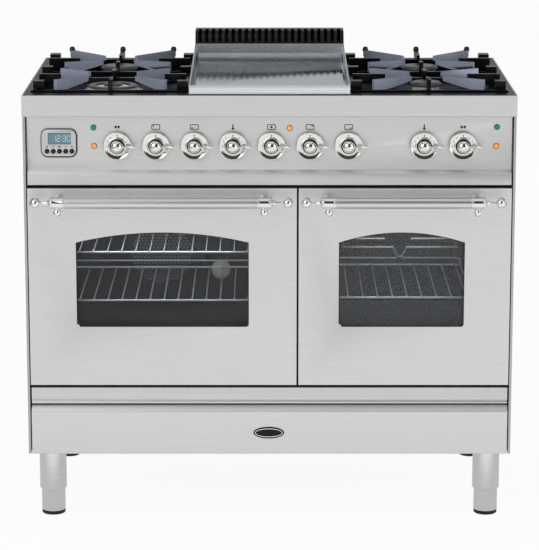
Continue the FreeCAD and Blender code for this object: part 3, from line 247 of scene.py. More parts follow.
class Wiring:
    def __init__(self, tree):
        self.tree = tree
        self.step = 0

    def add(self, kind, settings=None, **inputs):
        node = self.tree.nodes.new("ShaderNode" + kind)
        node.location = (self.step * 40, -self.step * 30)
        self.step += 1
        for key, choice in (settings or {}).items():
            setattr(node, key, choice)
        for key, source in inputs.items():
            numbered = key[0] == "i" and key[1:].isdigit()
            self.feed(node.inputs[int(key[1:]) if numbered else key], source)
        return node

    def feed(self, socket, source):
        if isinstance(source, bpy.types.NodeSocket):
            self.tree.links.new(source, socket)
        elif isinstance(source, bpy.types.Node):
            self.tree.links.new(source.outputs[0], socket)
        else:
            socket.default_value = source

    def sum(self, operation, first, second=0.5, clamp=False):
        settings = {"operation": operation, "use_clamp": clamp}
        return self.add("Math", settings, i0=first, i1=second).outputs[0]

    def times(self, first, second, clamp=False):
        return self.sum("MULTIPLY", first, second, clamp)

    def ramp(self, source, first, last, start, end):
        # an eased step from start to end while the source goes from first to last
        settings = {"interpolation_type": "SMOOTHSTEP"}
        step = self.add("MapRange", settings, i0=source, i1=first, i2=last, i3=start, i4=end)
        return step.outputs[0]

    def either(self, choice, first, second):
        return self.add("Mix", {"data_type": "FLOAT"}, i0=choice, i2=first, i3=second).outputs[0]


def effectGroup(name, inputs, outputs):
    group = bpy.data.node_groups.new(name, "ShaderNodeTree")
    for label, kind, start in inputs:
        kind = "NodeSocket" + kind
        socket = group.interface.new_socket(name=label, in_out="INPUT", socket_type=kind)
        socket.default_value = start
    for label, kind in outputs:
        kind = "NodeSocket" + kind
        group.interface.new_socket(name=label, in_out="OUTPUT", socket_type=kind)
    given = group.nodes.new("NodeGroupInput").outputs
    gives = group.nodes.new("NodeGroupOutput").inputs
    return group, Wiring(group), given, gives


def brushedEffect():
    # streaks are noise stretched along the brushing, specks are fine noise, smudges coarse noise;
    # each shifts the tone by its amount about 1 and the roughness with it
    group, w, given, gives = effectGroup(
        "brushedGrain",
        [
            ("Tone", "Color", (0.5, 0.5, 0.5, 1)),
            ("Gloss", "Float", 0.3),
            ("Stretch", "Vector", (8, 300, 300)),
            ("Streak", "Float", 0.2),
            ("Speck", "Float", 0.1),
            ("Smudge", "Float", 0.1),
        ],
        [("Tone", "Color"), ("Gloss", "Float"), ("Normal", "Vector")],
    )
    place = w.add("TexCoord").outputs["Object"]
    lengthened = w.add("VectorMath", {"operation": "MULTIPLY"}, i0=place, i1=given["Stretch"])
    streak = w.add("TexNoise", i0=lengthened, Scale=1.0, Detail=4.0, Roughness=0.65).outputs[0]
    speck = w.add("TexNoise", i0=place, Scale=700.0, Detail=2.0, Roughness=0.6).outputs[0]
    smudge = w.add("TexNoise", i0=place, Scale=5.0, Detail=3.0, Roughness=0.55).outputs[0]
    shift = w.times(w.sum("SUBTRACT", streak), given["Streak"])
    shift = w.sum("ADD", shift, w.times(w.sum("SUBTRACT", speck), given["Speck"]))
    shift = w.sum("ADD", shift, w.times(w.sum("SUBTRACT", smudge), given["Smudge"]))
    share = w.sum("ADD", shift, 1.0)
    tone = w.add("VectorMath", {"operation": "SCALE"}, i0=given["Tone"], Scale=share)
    rough = w.sum("ADD", given["Gloss"], w.times(shift, 0.45), clamp=True)
    height = w.times(streak, given["Streak"])
    height = w.sum("ADD", height, w.times(speck, given["Speck"]))
    bump = w.add("Bump", Strength=0.35, Distance=0.0002, Height=height)
    w.feed(gives["Tone"], tone.outputs[0])
    w.feed(gives["Gloss"], rough)
    w.feed(gives["Normal"], bump.outputs[0])
    return group


def coatedEffect():
    # enamel, plastic and rubber: a fine grit that roughens, pale dust that gathers in coarse
    # patches, and flecks where a sharp noise passes its threshold
    group, w, given, gives = effectGroup(
        "coatedGrain",
        [
            ("Tone", "Color", (0.02, 0.02, 0.02, 1)),
            ("Fleck Tone", "Color", (0.3, 0.3, 0.3, 1)),
            ("Gloss", "Float", 0.3),
            ("Grit", "Float", 300.0),
            ("Relief", "Float", 0.3),
            ("Fleck", "Float", 0.0),
            ("Dust", "Float", 0.1),
        ],
        [("Tone", "Color"), ("Gloss", "Float"), ("Normal", "Vector")],
    )
    place = w.add("TexCoord").outputs["Object"]
    grit = w.add("TexNoise", i0=place, Scale=given["Grit"], Detail=3.0, Roughness=0.6).outputs[0]
    cloud = w.add("TexNoise", i0=place, Scale=9.0, Detail=4.0, Roughness=0.6).outputs[0]
    cells = w.add("TexVoronoi", i0=place, Scale=w.times(given["Grit"], 1.6)).outputs[0]
    fleck = w.times(w.sum("LESS_THAN", cells, 0.2), given["Fleck"])
    dust = w.times(w.sum("SUBTRACT", cloud, 0.42), given["Dust"], clamp=True)
    amount = w.sum("ADD", fleck, dust, clamp=True)
    tone = w.add("Mix", {"data_type": "RGBA"}, i0=amount, i6=given["Tone"], i7=given["Fleck Tone"])
    rough = w.sum("ADD", given["Gloss"], w.times(w.sum("SUBTRACT", grit), 0.2))
    rough = w.sum("ADD", rough, dust, clamp=True)
    bump = w.add("Bump", Strength=given["Relief"], Distance=0.0004, Height=grit)
    w.feed(gives["Tone"], tone.outputs[2])
    w.feed(gives["Gloss"], rough)
    w.feed(gives["Normal"], bump.outputs[0])
    return group


brushed = brushedEffect()
coated = coatedEffect()


finishes = {}


def finishOf(name, effect, shader, **amounts):
    # makes the material and keeps it under its name
    material = bpy.data.materials.new(name)
    material.use_nodes = True
    tree = material.node_tree
    surface = tree.nodes["Principled BSDF"]
    grain = tree.nodes.new("ShaderNodeGroup")
    grain.node_tree = effect
    for label, amount in amounts.items():
        grain.inputs[label.replace("_", " ")].default_value = amount
    for label, amount in shader.items():
        surface.inputs[label.replace("_", " ")].default_value = amount
    tree.links.new(grain.outputs["Tone"], surface.inputs["Base Color"])
    tree.links.new(grain.outputs["Gloss"], surface.inputs["Roughness"])
    tree.links.new(grain.outputs["Normal"], surface.inputs["Normal"])
    material.diffuse_color = amounts["Tone"]
    finishes[name] = material
    return material


def steel(name, tone, gloss, stretch, streak=0.18, speck=0.2, smudge=0.06):
    grain = dict(Stretch=stretch, Streak=streak, Speck=speck, Smudge=smudge)
    finishOf(name, brushed, {"Metallic": 1.0}, Tone=srgb(*tone), Gloss=gloss, **grain)


def coat(name, tone, gloss, grit, relief, fleck=0.0, dust=0.06, pale=(150,) * 3, **shader):
    tones = dict(Tone=srgb(*tone), Fleck_Tone=srgb(*pale))
    grain = dict(Gloss=gloss, Grit=grit, Relief=relief, Fleck=fleck, Dust=dust)
    return finishOf(name, coated, shader, **tones, **grain)


acrossGrain = (10, 420, 420)  # brushed from side to side
steel("doorSteel", (224, 224, 224), 0.42, acrossGrain)
steel("drawerSteel", (226, 226, 226), 0.42, acrossGrain)
steel("panelSteel", (217, 217, 217), 0.42, acrossGrain)
steel("stripSteel", (213, 213, 213), 0.4, acrossGrain)
steel("rimSteel", (219, 219, 219), 0.38, acrossGrain, speck=0.12)
steel("sideSteel", (188, 188, 190), 0.4, (420, 10, 420))
steel("griddleSteel", (220, 223, 227), 0.26, acrossGrain, speck=0.1, smudge=0.2)
steel("plateSteel", (204, 211, 217), 0.11, acrossGrain, 0.14, 0.08, 0.25)
steel("legSteel", (226, 226, 227), 0.2, (60, 60, 900), streak=0.35, speck=0.05)
steel("barSteel", (214, 214, 215), 0.34, acrossGrain, streak=0.22, speck=0.08)
steel("chrome", (232, 232, 232), 0.05, (40, 40, 40), 0.02, 0.02, 0.04)
steel("dialChrome", (226, 225, 221), 0.09, (60, 60, 60), 0.05, 0.05, 0.05)
coat("wireChrome", (216, 216, 218), 0.3, 900.0, 0.1, dust=0.03, Metallic=0.5)
steel("galvanised", (170, 174, 178), 0.4, (55, 55, 55), 0.3, 0.08, 0.2)
steel("sheathSteel", (112, 110, 108), 0.5, (200, 200, 200), 0.3, 0.1, 0.2)
steel("tapBrass", (206, 176, 112), 0.3, (120, 120, 120), 0.15, 0.1, 0.2)
coat("tray", (15, 16, 18), 0.3, 700.0, 0.05, dust=0.02, Specular_IOR_Level=0.12)
# a paler metal for the casting's rounded edges: a painted highlight where the edges catch the light
steel("wornEdge", (150, 154, 164), 0.25, (90, 90, 90), 0.3, 0.3, 0.3)
coat("tipEnamel", (20, 21, 24), 0.16, 600.0, 0.1, dust=0.02, Coat_Weight=0.4)
coat("ventEnamel", (27, 27, 29), 0.3, 600.0, 0.1, dust=0.03, Specular_IOR_Level=0.4)
coat("capEnamel", (66, 69, 75), 0.3, 420.0, 0.15, dust=0.08)
coat("ovenEnamel", (50, 51, 54), 0.3, 900.0, 0.1, fleck=0.25, dust=0.04)
coat("baffleEnamel", (42, 43, 46), 0.35, 900.0, 0.1, fleck=0.2, dust=0.04)
coat("rimEnamel", (150, 151, 154), 0.3, 900.0, 0.1, dust=0.04)
coat("frameBlack", (20, 20, 21), 0.45, 500.0, 0.2, dust=0.05)
coat("rubber", (22, 22, 23), 0.62, 900.0, 0.3, dust=0.1)
coat("plastic", (18, 18, 19), 0.38, 1100.0, 0.2, dust=0.05)
coat("caseSilver", (196, 197, 198), 0.34, 1500.0, 0.15, fleck=0.1, Metallic=0.5)
coat("screenTeal", (96, 124, 134), 0.2, 1500.0, 0.03, dust=0.05, Coat_Weight=0.5)
coat("screenPale", (172, 206, 214), 0.3, 1500.0, 0.03, dust=0.05)
coat("ink", (30, 30, 32), 0.5, 2500.0, 0.15, dust=0.03)
crownDust = (255, 250, 236)
coat("crownBrass", (246, 240, 226), 0.26, 900.0, 0.8, 0.2, 0.05, crownDust, Metallic=0.25)
coat("badgeBlack", (9, 9, 10), 0.2, 1200.0, 0.05, dust=0.01, Specular_IOR_Level=0.25)
coat("seatBlack", (7, 7, 8), 0.4, 1200.0, 0.05, dust=0.01, Specular_IOR_Level=0.2)


def castingFinish():
    # black enamel over iron; the fingers' diagonal flanks get a pale blue-grey, partly metallic
    # colour, a painted highlight for the light falling on them, and its mask is the product of the
    # surface normal's two level parts, which is largest on a diagonal flank
    material = coat("casting", (18, 19, 22), 0.24, 500.0, 0.15, dust=0.02, Specular_IOR_Level=0.25)
    w = Wiring(material.node_tree)
    surface = material.node_tree.nodes["Principled BSDF"]
    enamel = surface.inputs["Base Color"].links[0].from_socket
    place = w.add("TexCoord").outputs
    level = w.add("SeparateXYZ", i0=place["Normal"]).outputs
    cast = w.add("TexNoise", i0=place["Object"], Scale=220.0, Detail=3.0).outputs[0]
    slant = w.sum("ABSOLUTE", w.times(level[0], level[1]))
    near = w.ramp(slant, 0.3, 0.36, 0.0, 1.0)
    patchy = w.sum("ADD", w.times(cast, 0.5), 0.7)
    # painted highlight on the diagonal flanks, made patchy by a noise
    paintedFlankSheen = w.times(near, patchy, clamp=True)
    settings = {"data_type": "RGBA", "clamp_factor": True}
    tone = w.add("Mix", settings, i0=paintedFlankSheen, i6=enamel, i7=srgb(172, 180, 202))
    w.feed(surface.inputs["Base Color"], tone.outputs[2])
    w.feed(surface.inputs["Metallic"], w.times(paintedFlankSheen, 0.45))


castingFinish()
print("finishes made")


def glassFinish(name, tone, gloss, index):
    amounts = dict(Tone=srgb(*tone), Fleck_Tone=srgb(*tone), Gloss=gloss)
    shader = {"Transmission Weight": 1.0, "IOR": index}
    finishOf(name, coated, shader, Grit=40.0, Relief=0.01, Fleck=0.0, Dust=0.02, **amounts)


glassFinish("paneGlass", (236, 238, 240), 0.01, 1.22)
glassFinish("lampGlass", (250, 248, 240), 0.08, 1.4)


# housing

plainNodes = {
    "galvanised": ("back_panel", "base_tray", "drawer_box", "fan_motor"),
    "plastic": ("terminal_box", "timer_housing", "timer_display"),
    "baffleEnamel": ("fan_wheel", "fan_baffle"),
    "ovenEnamel": ("oven_liner_left", "oven_liner_right"),
    "frameBlack": ("front_frame", "door_left_inner_frame", "door_right_inner_frame"),
    "sheathSteel": ("heating_elements",),
    "rubber": ("door_seals",),
    "tapBrass": ("gas_manifold", *(name for name in nodes if name.startswith("stem_"))),
    "paneGlass": ("door_left_glass", "door_right_glass"),
}
for finish, group in plainNodes.items():
    for node in group:
        mesh = nodes[node].data
        mesh.materials.clear()
        mesh.materials.append(finishes[finish])

brokenEdges = {
    "side_panel_left": ("sideSteel", "cooker", 0.0005, 0),
    "side_panel_right": ("sideSteel", "cooker", 0.0005, 0),
    "control_panel": ("panelSteel", "cooker", 0.0006, 0.0032),
    "trim_strip": ("stripSteel", "cooker", 0.0006, 0.0032),
    "hob_rim": ("rimSteel", "cooker", 0.0008, 0),
    "hob_tray": ("tray", "cooker", 0.0005, 0),
    "griddle_surround": ("griddleSteel", "cooker", 0.0008, 0),
    "griddle_plate": ("plateSteel", "cooker", 0.0006, 0),
    "vent_grille": ("ventEnamel", "cooker", 0.0004, 0),
    "door_left_panel": ("doorSteel", "door_left", 0.0003, 0),
    "door_right_panel": ("doorSteel", "door_right", 0.0003, 0),
    "drawer_front": ("drawerSteel", "drawer", 0.001, 0),
    "pan_support_left": ("casting", "pan_support_left", 0.0011, 0),
    "pan_support_right": ("casting", "pan_support_right", 0.0011, 0),
}


def smoothName(node):
    words = node.split("_")
    return words[0] + "".join(word.capitalize() for word in words[1:])


for node, (finish, body, width, narrower) in brokenEdges.items():
    # the casting's edge rounds get the paler metal, a painted highlight
    edgeHighlight = "wornEdge" if finish == "casting" else None
    refinedCopy(node, smoothName(node), body, finish, width, narrower, edgeHighlight)

supportTips = {"middle": 324, "apart": 112, "depth": 535, "height": 920.8, "ball": 6.4}


def supportTipPieces(side, sign):
    # a ball on a short stalk at the rear end of each upright finger
    stalk = [(-14, 0), (-14, 4.6), (-5, 4.6)]
    tip = turned(np.concatenate([stalk, ballArc(0, supportTips["ball"], -46, 90, 12)]), 28)
    places = sign * supportTips["middle"] + np.array([-1, 0, 1]) * supportTips["apart"]
    depth, height = doorPlane + supportTips["depth"], supportTips["height"]
    spots = [(across, depth, height) for across in places]
    name = "pan_support_" + side
    grids = [tip + spot for spot in spots]
    makePiece(smoothName(name) + "Tips", grids, name, "tipEnamel")


supportTipPieces("left", -1)
supportTipPieces("right", 1)

griddleFold = {"half": 156, "low": (452, 905.5), "high": (487, 920), "sheet": 2.2}


def griddleFoldPiece():
    # the plate's rear fold: a bent section in depth and height carried straight across
    (near, low), (far, high) = griddleFold["low"], griddleFold["high"]
    sheet, half = griddleFold["sheet"], griddleFold["half"]
    section = [(near, low), (far, high), (far, high - sheet)]
    section += [(near + 2, low - sheet), (near, low - sheet)]
    ring = np.array([(0, doorPlane + depth, height) for depth, height in section])
    middle = ring.mean(0)
    rows = [middle + 0 * ring, ring, ring, middle + 0 * ring]
    grid = np.stack([row + (side * half, 0, 0) for row, side in zip(rows, (-1, -1, 1, 1))])
    makePiece("griddleFold", [grid], "cooker", "griddleSteel", softer=0.0004)


griddleFoldPiece()
print("housing dressed")

# doors

screen = {
    "sides": {"left": (-218.7, 176.3), "right": (269.95, 128.4)},
    "low": 417.2,
    "corner": 594,
    "peak": 615,
    "bend": 7.5,
    "pitch": 0.0029,
    "dot": 0.31,
    "dotEdge": (0.24, 0.36),
    "seal": {"outward": 6, "inward": 1.6, "depth": 1.15, "thick": 0.7},
    "film": {"outward": 3, "depth": 6.15, "thick": 0.3},
}


def dotScreenFinish():
    # a print of small dots in slanting rows: each cell's dot is where the distance from the
    # cell's middle is under the dot's share of the pitch, and elsewhere the film is clear
    material = coat("dotScreen", (150, 152, 155), 0.5, 900.0, 0.05, dust=0.02)
    w = Wiring(material.node_tree)
    spot = w.add("SeparateXYZ", i0=w.add("TexCoord").outputs["Object"]).outputs
    square = []
    for first, second, way in ((0, 2, "ADD"), (0, 2, "SUBTRACT")):
        slanted = w.sum(way, spot[first], spot[second])
        cell = w.sum("FRACT", w.times(slanted, 0.707 / screen["pitch"]))
        square.append(w.sum("POWER", w.sum("ABSOLUTE", w.sum("SUBTRACT", cell)), 2.0))
    reach = w.sum("SQRT", w.sum("ADD", *square))
    edge = w.ramp(reach, *screen["dotEdge"], 1.0, 0.0)
    surface = material.node_tree.nodes["Principled BSDF"]
    w.feed(surface.inputs["Alpha"], w.times(edge, screen["dot"]))


dotScreenFinish()


def windowLoop(side, grown):
    # the window's own arched outline with rounded feet, grown on all sides
    middle, half = screen["sides"][side]
    low, corner, peak = screen["low"] - grown, screen["corner"] + grown, screen["peak"] + grown
    return archedLoop(middle, half + grown, low, corner, peak, screen["bend"])


def windowSealPiece(side):
    # a black bead just behind the steel
    seal = screen["seal"]
    loops = [windowLoop(side, seal["outward"]), windowLoop(side, -seal["inward"])]
    name = f"door{side.capitalize()}WindowSeal"
    platePiece(name, loops, seal["depth"], seal["thick"], "door_" + side, "rubber")


windowSealPiece("left")
windowSealPiece("right")


def screenPiece():
    film = screen["film"]
    loop = windowLoop("right", film["outward"])
    platePiece("doorRightScreen", [loop], film["depth"], film["thick"], "door_right", "dotScreen")


screenPiece()
print("doors dressed")

# handles

handle = {
    "height": 684,
    "gap": 45,
    "rod": 11.3,
    "knuckle": 12.7,
    "barrel": 14,
    "ball": 11,
    "neck": 2.8,
    "finial": 8.6,
    "brackets": {"left": (-428, -10.5), "right": (120, 420.5)},
    "ends": {"left": (-472.7, 37), "right": (74.3, 466.8)},
}


def handlePieces(side):
    first, last = handle["brackets"][side]
    barrel, knuckle, rodRadius = handle["barrel"], handle["knuckle"], handle["rod"]
    spot = np.array([0, doorPlane - handle["gap"], handle["height"]])
    body = "door_" + side
    low, high = first + barrel - 2, last - barrel + 2
    rod = turned([(low, 0), (low, rodRadius), (high, rodRadius), (high, 0)], 48)
    name = "door" + side.capitalize()
    bar = towards(rod, "right") + spot
    makePiece(name + "HandleBar", [bar], body, "barSteel", slot="brushed_steel_body")
    grids = []
    for index, across in enumerate((first, last)):
        way = ("left", "right")[index]
        reach = abs(handle["ends"][side][index] - across)
        turn = [
            (-barrel, 0),
            (-barrel, knuckle, 1.2),
            (-barrel + 3.2, knuckle, 0.8),
            (-barrel + 4.2, knuckle - 1.1, 0.4),
            (barrel - 4.2, knuckle - 1.1, 0.4),
            (barrel - 3.2, knuckle, 0.8),
            (barrel, knuckle - 0.6, 1.5),
            (barrel + 1.5, knuckle - 4.5, 1.5),
            (barrel + 5, 5.2, 2),
            (reach - 13.5, handle["neck"], 1.5),
        ]
        neck = [(reach - 13.5, handle["neck"])]
        ball = ballArc(reach, handle["ball"], -72, 90, 16)
        profile = np.concatenate([softCorners(turn)[:-5], neck, ball])
        grids.append(towards(turned(profile, 48), way) + spot + (across, 0, 0))
        post = [
            (0, 0),
            (0, 9.4, 0.6),
            (2.4, 9.4, 0.8),
            (4, 8.2, 1),
            (handle["gap"] - 14, 7.8, 2),
            (handle["gap"] - 10, 9.6, 1),
            (handle["gap"] - 4, 9.6),
            (handle["gap"] - 4, 0),
        ]
        stand = turned(softCorners(post), 40)
        grids.append(towards(stand, "front") + (across, doorPlane, handle["height"]))
        stalk = [(-6, 0), (-6, 6.5), (-12.2, 5.6), (-13.6, 3.4)]
        drip = np.concatenate([stalk, ballArc(19.5, handle["finial"], -70, 90, 14) * (-1, 1)])
        grids.append(turned(drip, 32) + spot + (across, 0, 0))
    node = f"door_{side}_handle"
    makePiece(name + "HandleBrackets", grids, body, "chrome", (node,), "chrome", 50)


for side in ("left", "right"):
    handlePieces(side)
print("handles made")

# knobs

knobs = {
    "height": 793,
    "gap": 5.5,
    "dial": 28.75,
    "reach": 39,
    "lift": 23,
    "ticks": (38, 62, 118, 146, 180, 214, 242, 270, 298, 322),
    "gasMarks": (128,),
    "markCircle": 21.4,
    "markRise": 4.75,
    "places": {
        "knob_left_oven_mode": -308,
        "knob_rear_left_burner": -230,
        "knob_front_left_burner": -152,
        "knob_left_oven_heat": -74,
        "knob_griddle": 4,
        "knob_rear_right_burner": 82,
        "knob_front_right_burner": 160,
        "knob_right_oven_heat": 313,
        "knob_right_oven_mode": 391.5,
    },
}


def knobPieces(node, across):
    gap, dial = knobs["gap"], knobs["dial"]
    turn = [
        (gap, 0),
        (gap, dial - 2, 0.8),
        (gap + 1.6, dial, 0.8),
        (gap + 4, dial, 0.8),
        (gap + 5.4, dial - 1.4, 1.0),
        (gap + 4.6, dial - 4, 1.5),
        (gap + 3.6, 19.6, 2),
        (gap + 3.6, 18.2, 0.5),
        (gap + 6.6, 17.4, 0.9),
        (gap + 6.8, 15.4, 0.7),
        (gap + 4.6, 14.4, 0.6),
    ]
    dome = np.array([(gap + 4.6, 11.6), (gap + 9, 12.6), (gap + 14, 12.9)])
    profile = np.concatenate([softCorners(turn), dome, domeArc(gap + 14, 10, 12.9, 0.05, 14)])
    spot = np.array([across, panelFace, knobs["height"]])
    grids = [facing(profile, 56) + spot]
    lever = [
        (4, 0),
        (4, 4.2),
        (12, 3.0, 1),
        (20, 2.1, 2),
        (27, 2.3, 1.5),
        (30.5, 3.9, 1.2),
        (32.5, 4.7, 1),
        (35, 4.4, 1),
        (38.2, 2.6, 1),
        (knobs["reach"], 0),
    ]
    grids.append(towards(turned(softCorners(lever), 28), "right") + spot - (0, knobs["lift"], 0))
    makePiece(smoothName(node), grids, node, "dialChrome", (node,), "chrome", 50)
    seat = [(1, 12.3), (5.6, 12.3), (5.9, 13.2), (5.9, 14.6), (5.4, 15.2), (1, 15.2), (1, 12.3)]
    seat = np.array(seat) + (gap, 0)
    groove = facing(seat, 48) + spot
    makePiece(smoothName(node) + "Seat", [groove], node, "seatBlack", crease=50)
    circle = knobs["markCircle"]
    marks = [ovalLoop(across, knobs["height"] + circle, 2.6, 2.6, 12)]
    turns = knobs["ticks"] if "oven" in node else knobs["gasMarks"]
    for degrees in turns:
        # a bar whose middle stands on the dial's circle, turned to point at the dial's middle
        a = math.radians(90 - degrees)
        along = np.array([math.cos(a), math.sin(a)])
        over = np.array([-along[1], along[0]])
        middle = np.array([across, knobs["height"]]) + circle * along
        signs = ((1, 1), (-1, 1), (-1, -1), (1, -1))
        marks.append(np.array([middle + s * along * 1.5 + t * over * 0.5 for s, t in signs]))
    front = panelBack - gap - knobs["markRise"]
    platePiece(smoothName(node) + "Marks", marks, front, 1.2, node, "ink")


for node, across in knobs["places"].items():
    knobPieces(node, across)
print("knobs made")

# gas burners

burners = {
    "across": 324,
    "rear": 400,
    "front": 150,
    "floor": 880,
    "radius": {"rear_left": 40, "rear_right": 40, "front_right": 33},
}


def portedRing(profile, sides, ports, low, high, depth):
    # the turned crown with its ports: the radius drops by depth inside each port's share of the
    # turn, between the heights low and high
    grid = turned(profile, sides)
    a = np.arange(sides) / sides * ports
    inPort = ((a % 1.0) < 0.42)[None, :]
    height = grid[..., 2]
    radius = np.linalg.norm(grid[..., :2], axis=-1)
    inPort = inPort & (height > low) & (height < high)
    sunk = np.where(inPort, 1 - depth / np.maximum(radius, 1), 1.0)
    grid[..., :2] *= sunk[..., None]
    return grid


def burnerPieces():
    crowns, caps = [], []
    for name, radius in burners["radius"].items():
        sign = -1 if "left" in name else 1
        depth = burners[name.split("_")[0]]
        spot = np.array([sign * burners["across"], doorPlane + depth, burners["floor"]])
        edge = radius - 6
        throat = [(-30, 0), (-30, 20), (-12, 29), (0.3, 29)]
        skirt = throat + [(0.3, radius + 4, 0.8), (3, radius + 3.6, 1), (6.6, edge + 0.6, 1.2)]
        wall = [(height, edge) for height in (7.6, 9.0, 9.1, 13.4, 13.5, 15)] + [(15, 0)]
        profile = np.concatenate([softCorners(skirt + [(7, edge)])[:-1], wall])
        crowns.append(portedRing(profile, 144, 24, 9.05, 13.45, 3.2) + spot)
        lid = [(15.2, 0), (15.2, radius - 1.6, 0.6), (17, radius, 0.8), (20.6, radius, 1.2)]
        lid += [(23.6, radius - 3.6, 2.2), (24.6, radius - 9, 3), (25, 0)]
        caps.append(turned(softCorners(lid), 72) + spot)
    spot = np.array([-burners["across"], doorPlane + burners["front"], burners["floor"]])
    dish = [(-30, 0), (-30, 20), (-12, 29), (0.3, 29), (0.3, 68)]
    dish += [(3, 70, 1), (4.2, 60, 2), (5, 54.5, 0.8)]
    rise = [(height, 53) for height in (6.2, 8, 8.1, 11.6, 11.7, 13)] + [(13, 36), (11, 35)]
    rise += [(4.6, 33, 1), (4, 26, 2), (4.6, 19), (14.8, 17.4), (15, 0)]
    profile = np.concatenate([softCorners(dish)[:-1], softCorners(rise)])
    wide = portedRing(profile, 180, 36, 8.05, 11.65, 3)
    crowns.append(wide + spot)
    lid = [(15.2, 0), (15.2, 18.6, 0.5), (16.4, 20, 0.6), (18.6, 20, 0.8)]
    lid += [(20.8, 17, 1.5), (21.4, 8, 3), (21.4, 0)]
    caps.append(turned(softCorners(lid), 56) + spot)
    ringLid = [(13.2, 36), (13.2, 53, 0.6), (15, 53, 0.8)]
    ringLid = softCorners(ringLid + [(17.5, 49, 1), (17.5, 39, 1), (15, 36, 0.6)])
    loop = turned(np.concatenate([ringLid, ringLid[:1]]), 96)
    caps.append(loop + spot)
    makePiece("burnerCrowns", crowns, "cooker", "crownBrass", ("burner_crowns",), "brass_crown", 40)
    makePiece("burnerCaps", caps, "cooker", "capEnamel", ("burner_caps",), "black_cap", 40)


burnerPieces()
print("burners made")

# lamps and timer

lamps = {
    "green": [(-356, 830), (460, 831)],
    "orange": [(-355, 792), (41, 829), (459, 792)],
    "radius": 4.9,
}


def lensFinish(name, tone, glow):
    amounts = dict(Tone=srgb(*tone), Fleck_Tone=srgb(*tone), Gloss=0.12)
    shader = {"Emission Strength": glow, "Coat Weight": 0.6, "Emission Color": srgb(*tone)}
    finishOf(name, coated, shader, Grit=900.0, Relief=0.05, Fleck=0.0, Dust=0.03, **amounts)


lensFinish("greenLens", (8, 122, 84), 0.12)
lensFinish("orangeLens", (244, 146, 38), 0.3)


def lampPieces():
    bezels, lens = [], lamps["radius"]
    for tone in ("green", "orange"):
        domes = []
        for across, height in lamps[tone]:
            spot = np.array([across, panelFace, height])
            bulge = domeArc(1.7, 1.6, lens, 0.1, 9)
            dome = np.concatenate([[(0, 0), (0, lens), (1.7, lens)], bulge])
            domes.append(facing(dome, 32) + spot)
            ring = [(0, lens), (0, lens + 1.1, 0.2), (1.2, lens + 1.1, 0.4)]
            ring = softCorners(ring + [(1.9, lens + 0.5, 0.3), (1.5, lens)])
            bezels.append(towards(turned(np.concatenate([ring, ring[:1]]), 32), "front") + spot)
        replaced = ("indicator_lamps",)
        makePiece(tone + "Lamps", domes, "cooker", tone + "Lens", replaced, "lamp_lens", 50)
    makePiece("lampBezels", bezels, "cooker", "plastic", crease=50)


lampPieces()

timer = {
    "across": -426,
    "height": 798.6,
    "face": 3.5,
    "buttons": {"first": -450.2, "pitch": 12.6, "height": 782, "radius": 4.3, "well": 10.2},
    "case": (69.6, 54.6, 12.5),
    "opening": (46.4, 23.2, 0.8),
    "screen": (-425, 808, 45, 21.4),
    "shows": "1230",
    "places": (-436.2, -427.6, -415.8, -407.2),
    "colon": -419.4,
    "signs": 791.4,
}


def digitLoops(digit, across, height):
    # seven segments on a 2 x 3 net of points; each is a six-pointed bar between two of them
    lit = {"0": "012345", "1": "12", "2": "01346", "3": "01236"}[digit]
    outline = [(0, 2), (1, 2), (1, 1), (1, 0), (0, 0), (0, 1), (0, 2)]
    ends = list(zip(outline, outline[1:])) + [((0, 1), (1, 1))]
    foot, cell = np.array([across, height]), (6.2, 5.6)
    loops = []
    for index in map(int, lit):
        first, last = (foot + np.array(end) * cell for end in ends[index])
        along = (last - first) / np.linalg.norm(last - first)
        over = np.array([-along[1], along[0]]) * 0.62
        first, last = first + along * 0.25, last - along * 0.25
        bar = [first, first + along * 0.6 + over, last - along * 0.6 + over, last]
        loops.append(np.array(bar + [last - along * 0.6 - over, first + along * 0.6 - over]))
    return loops


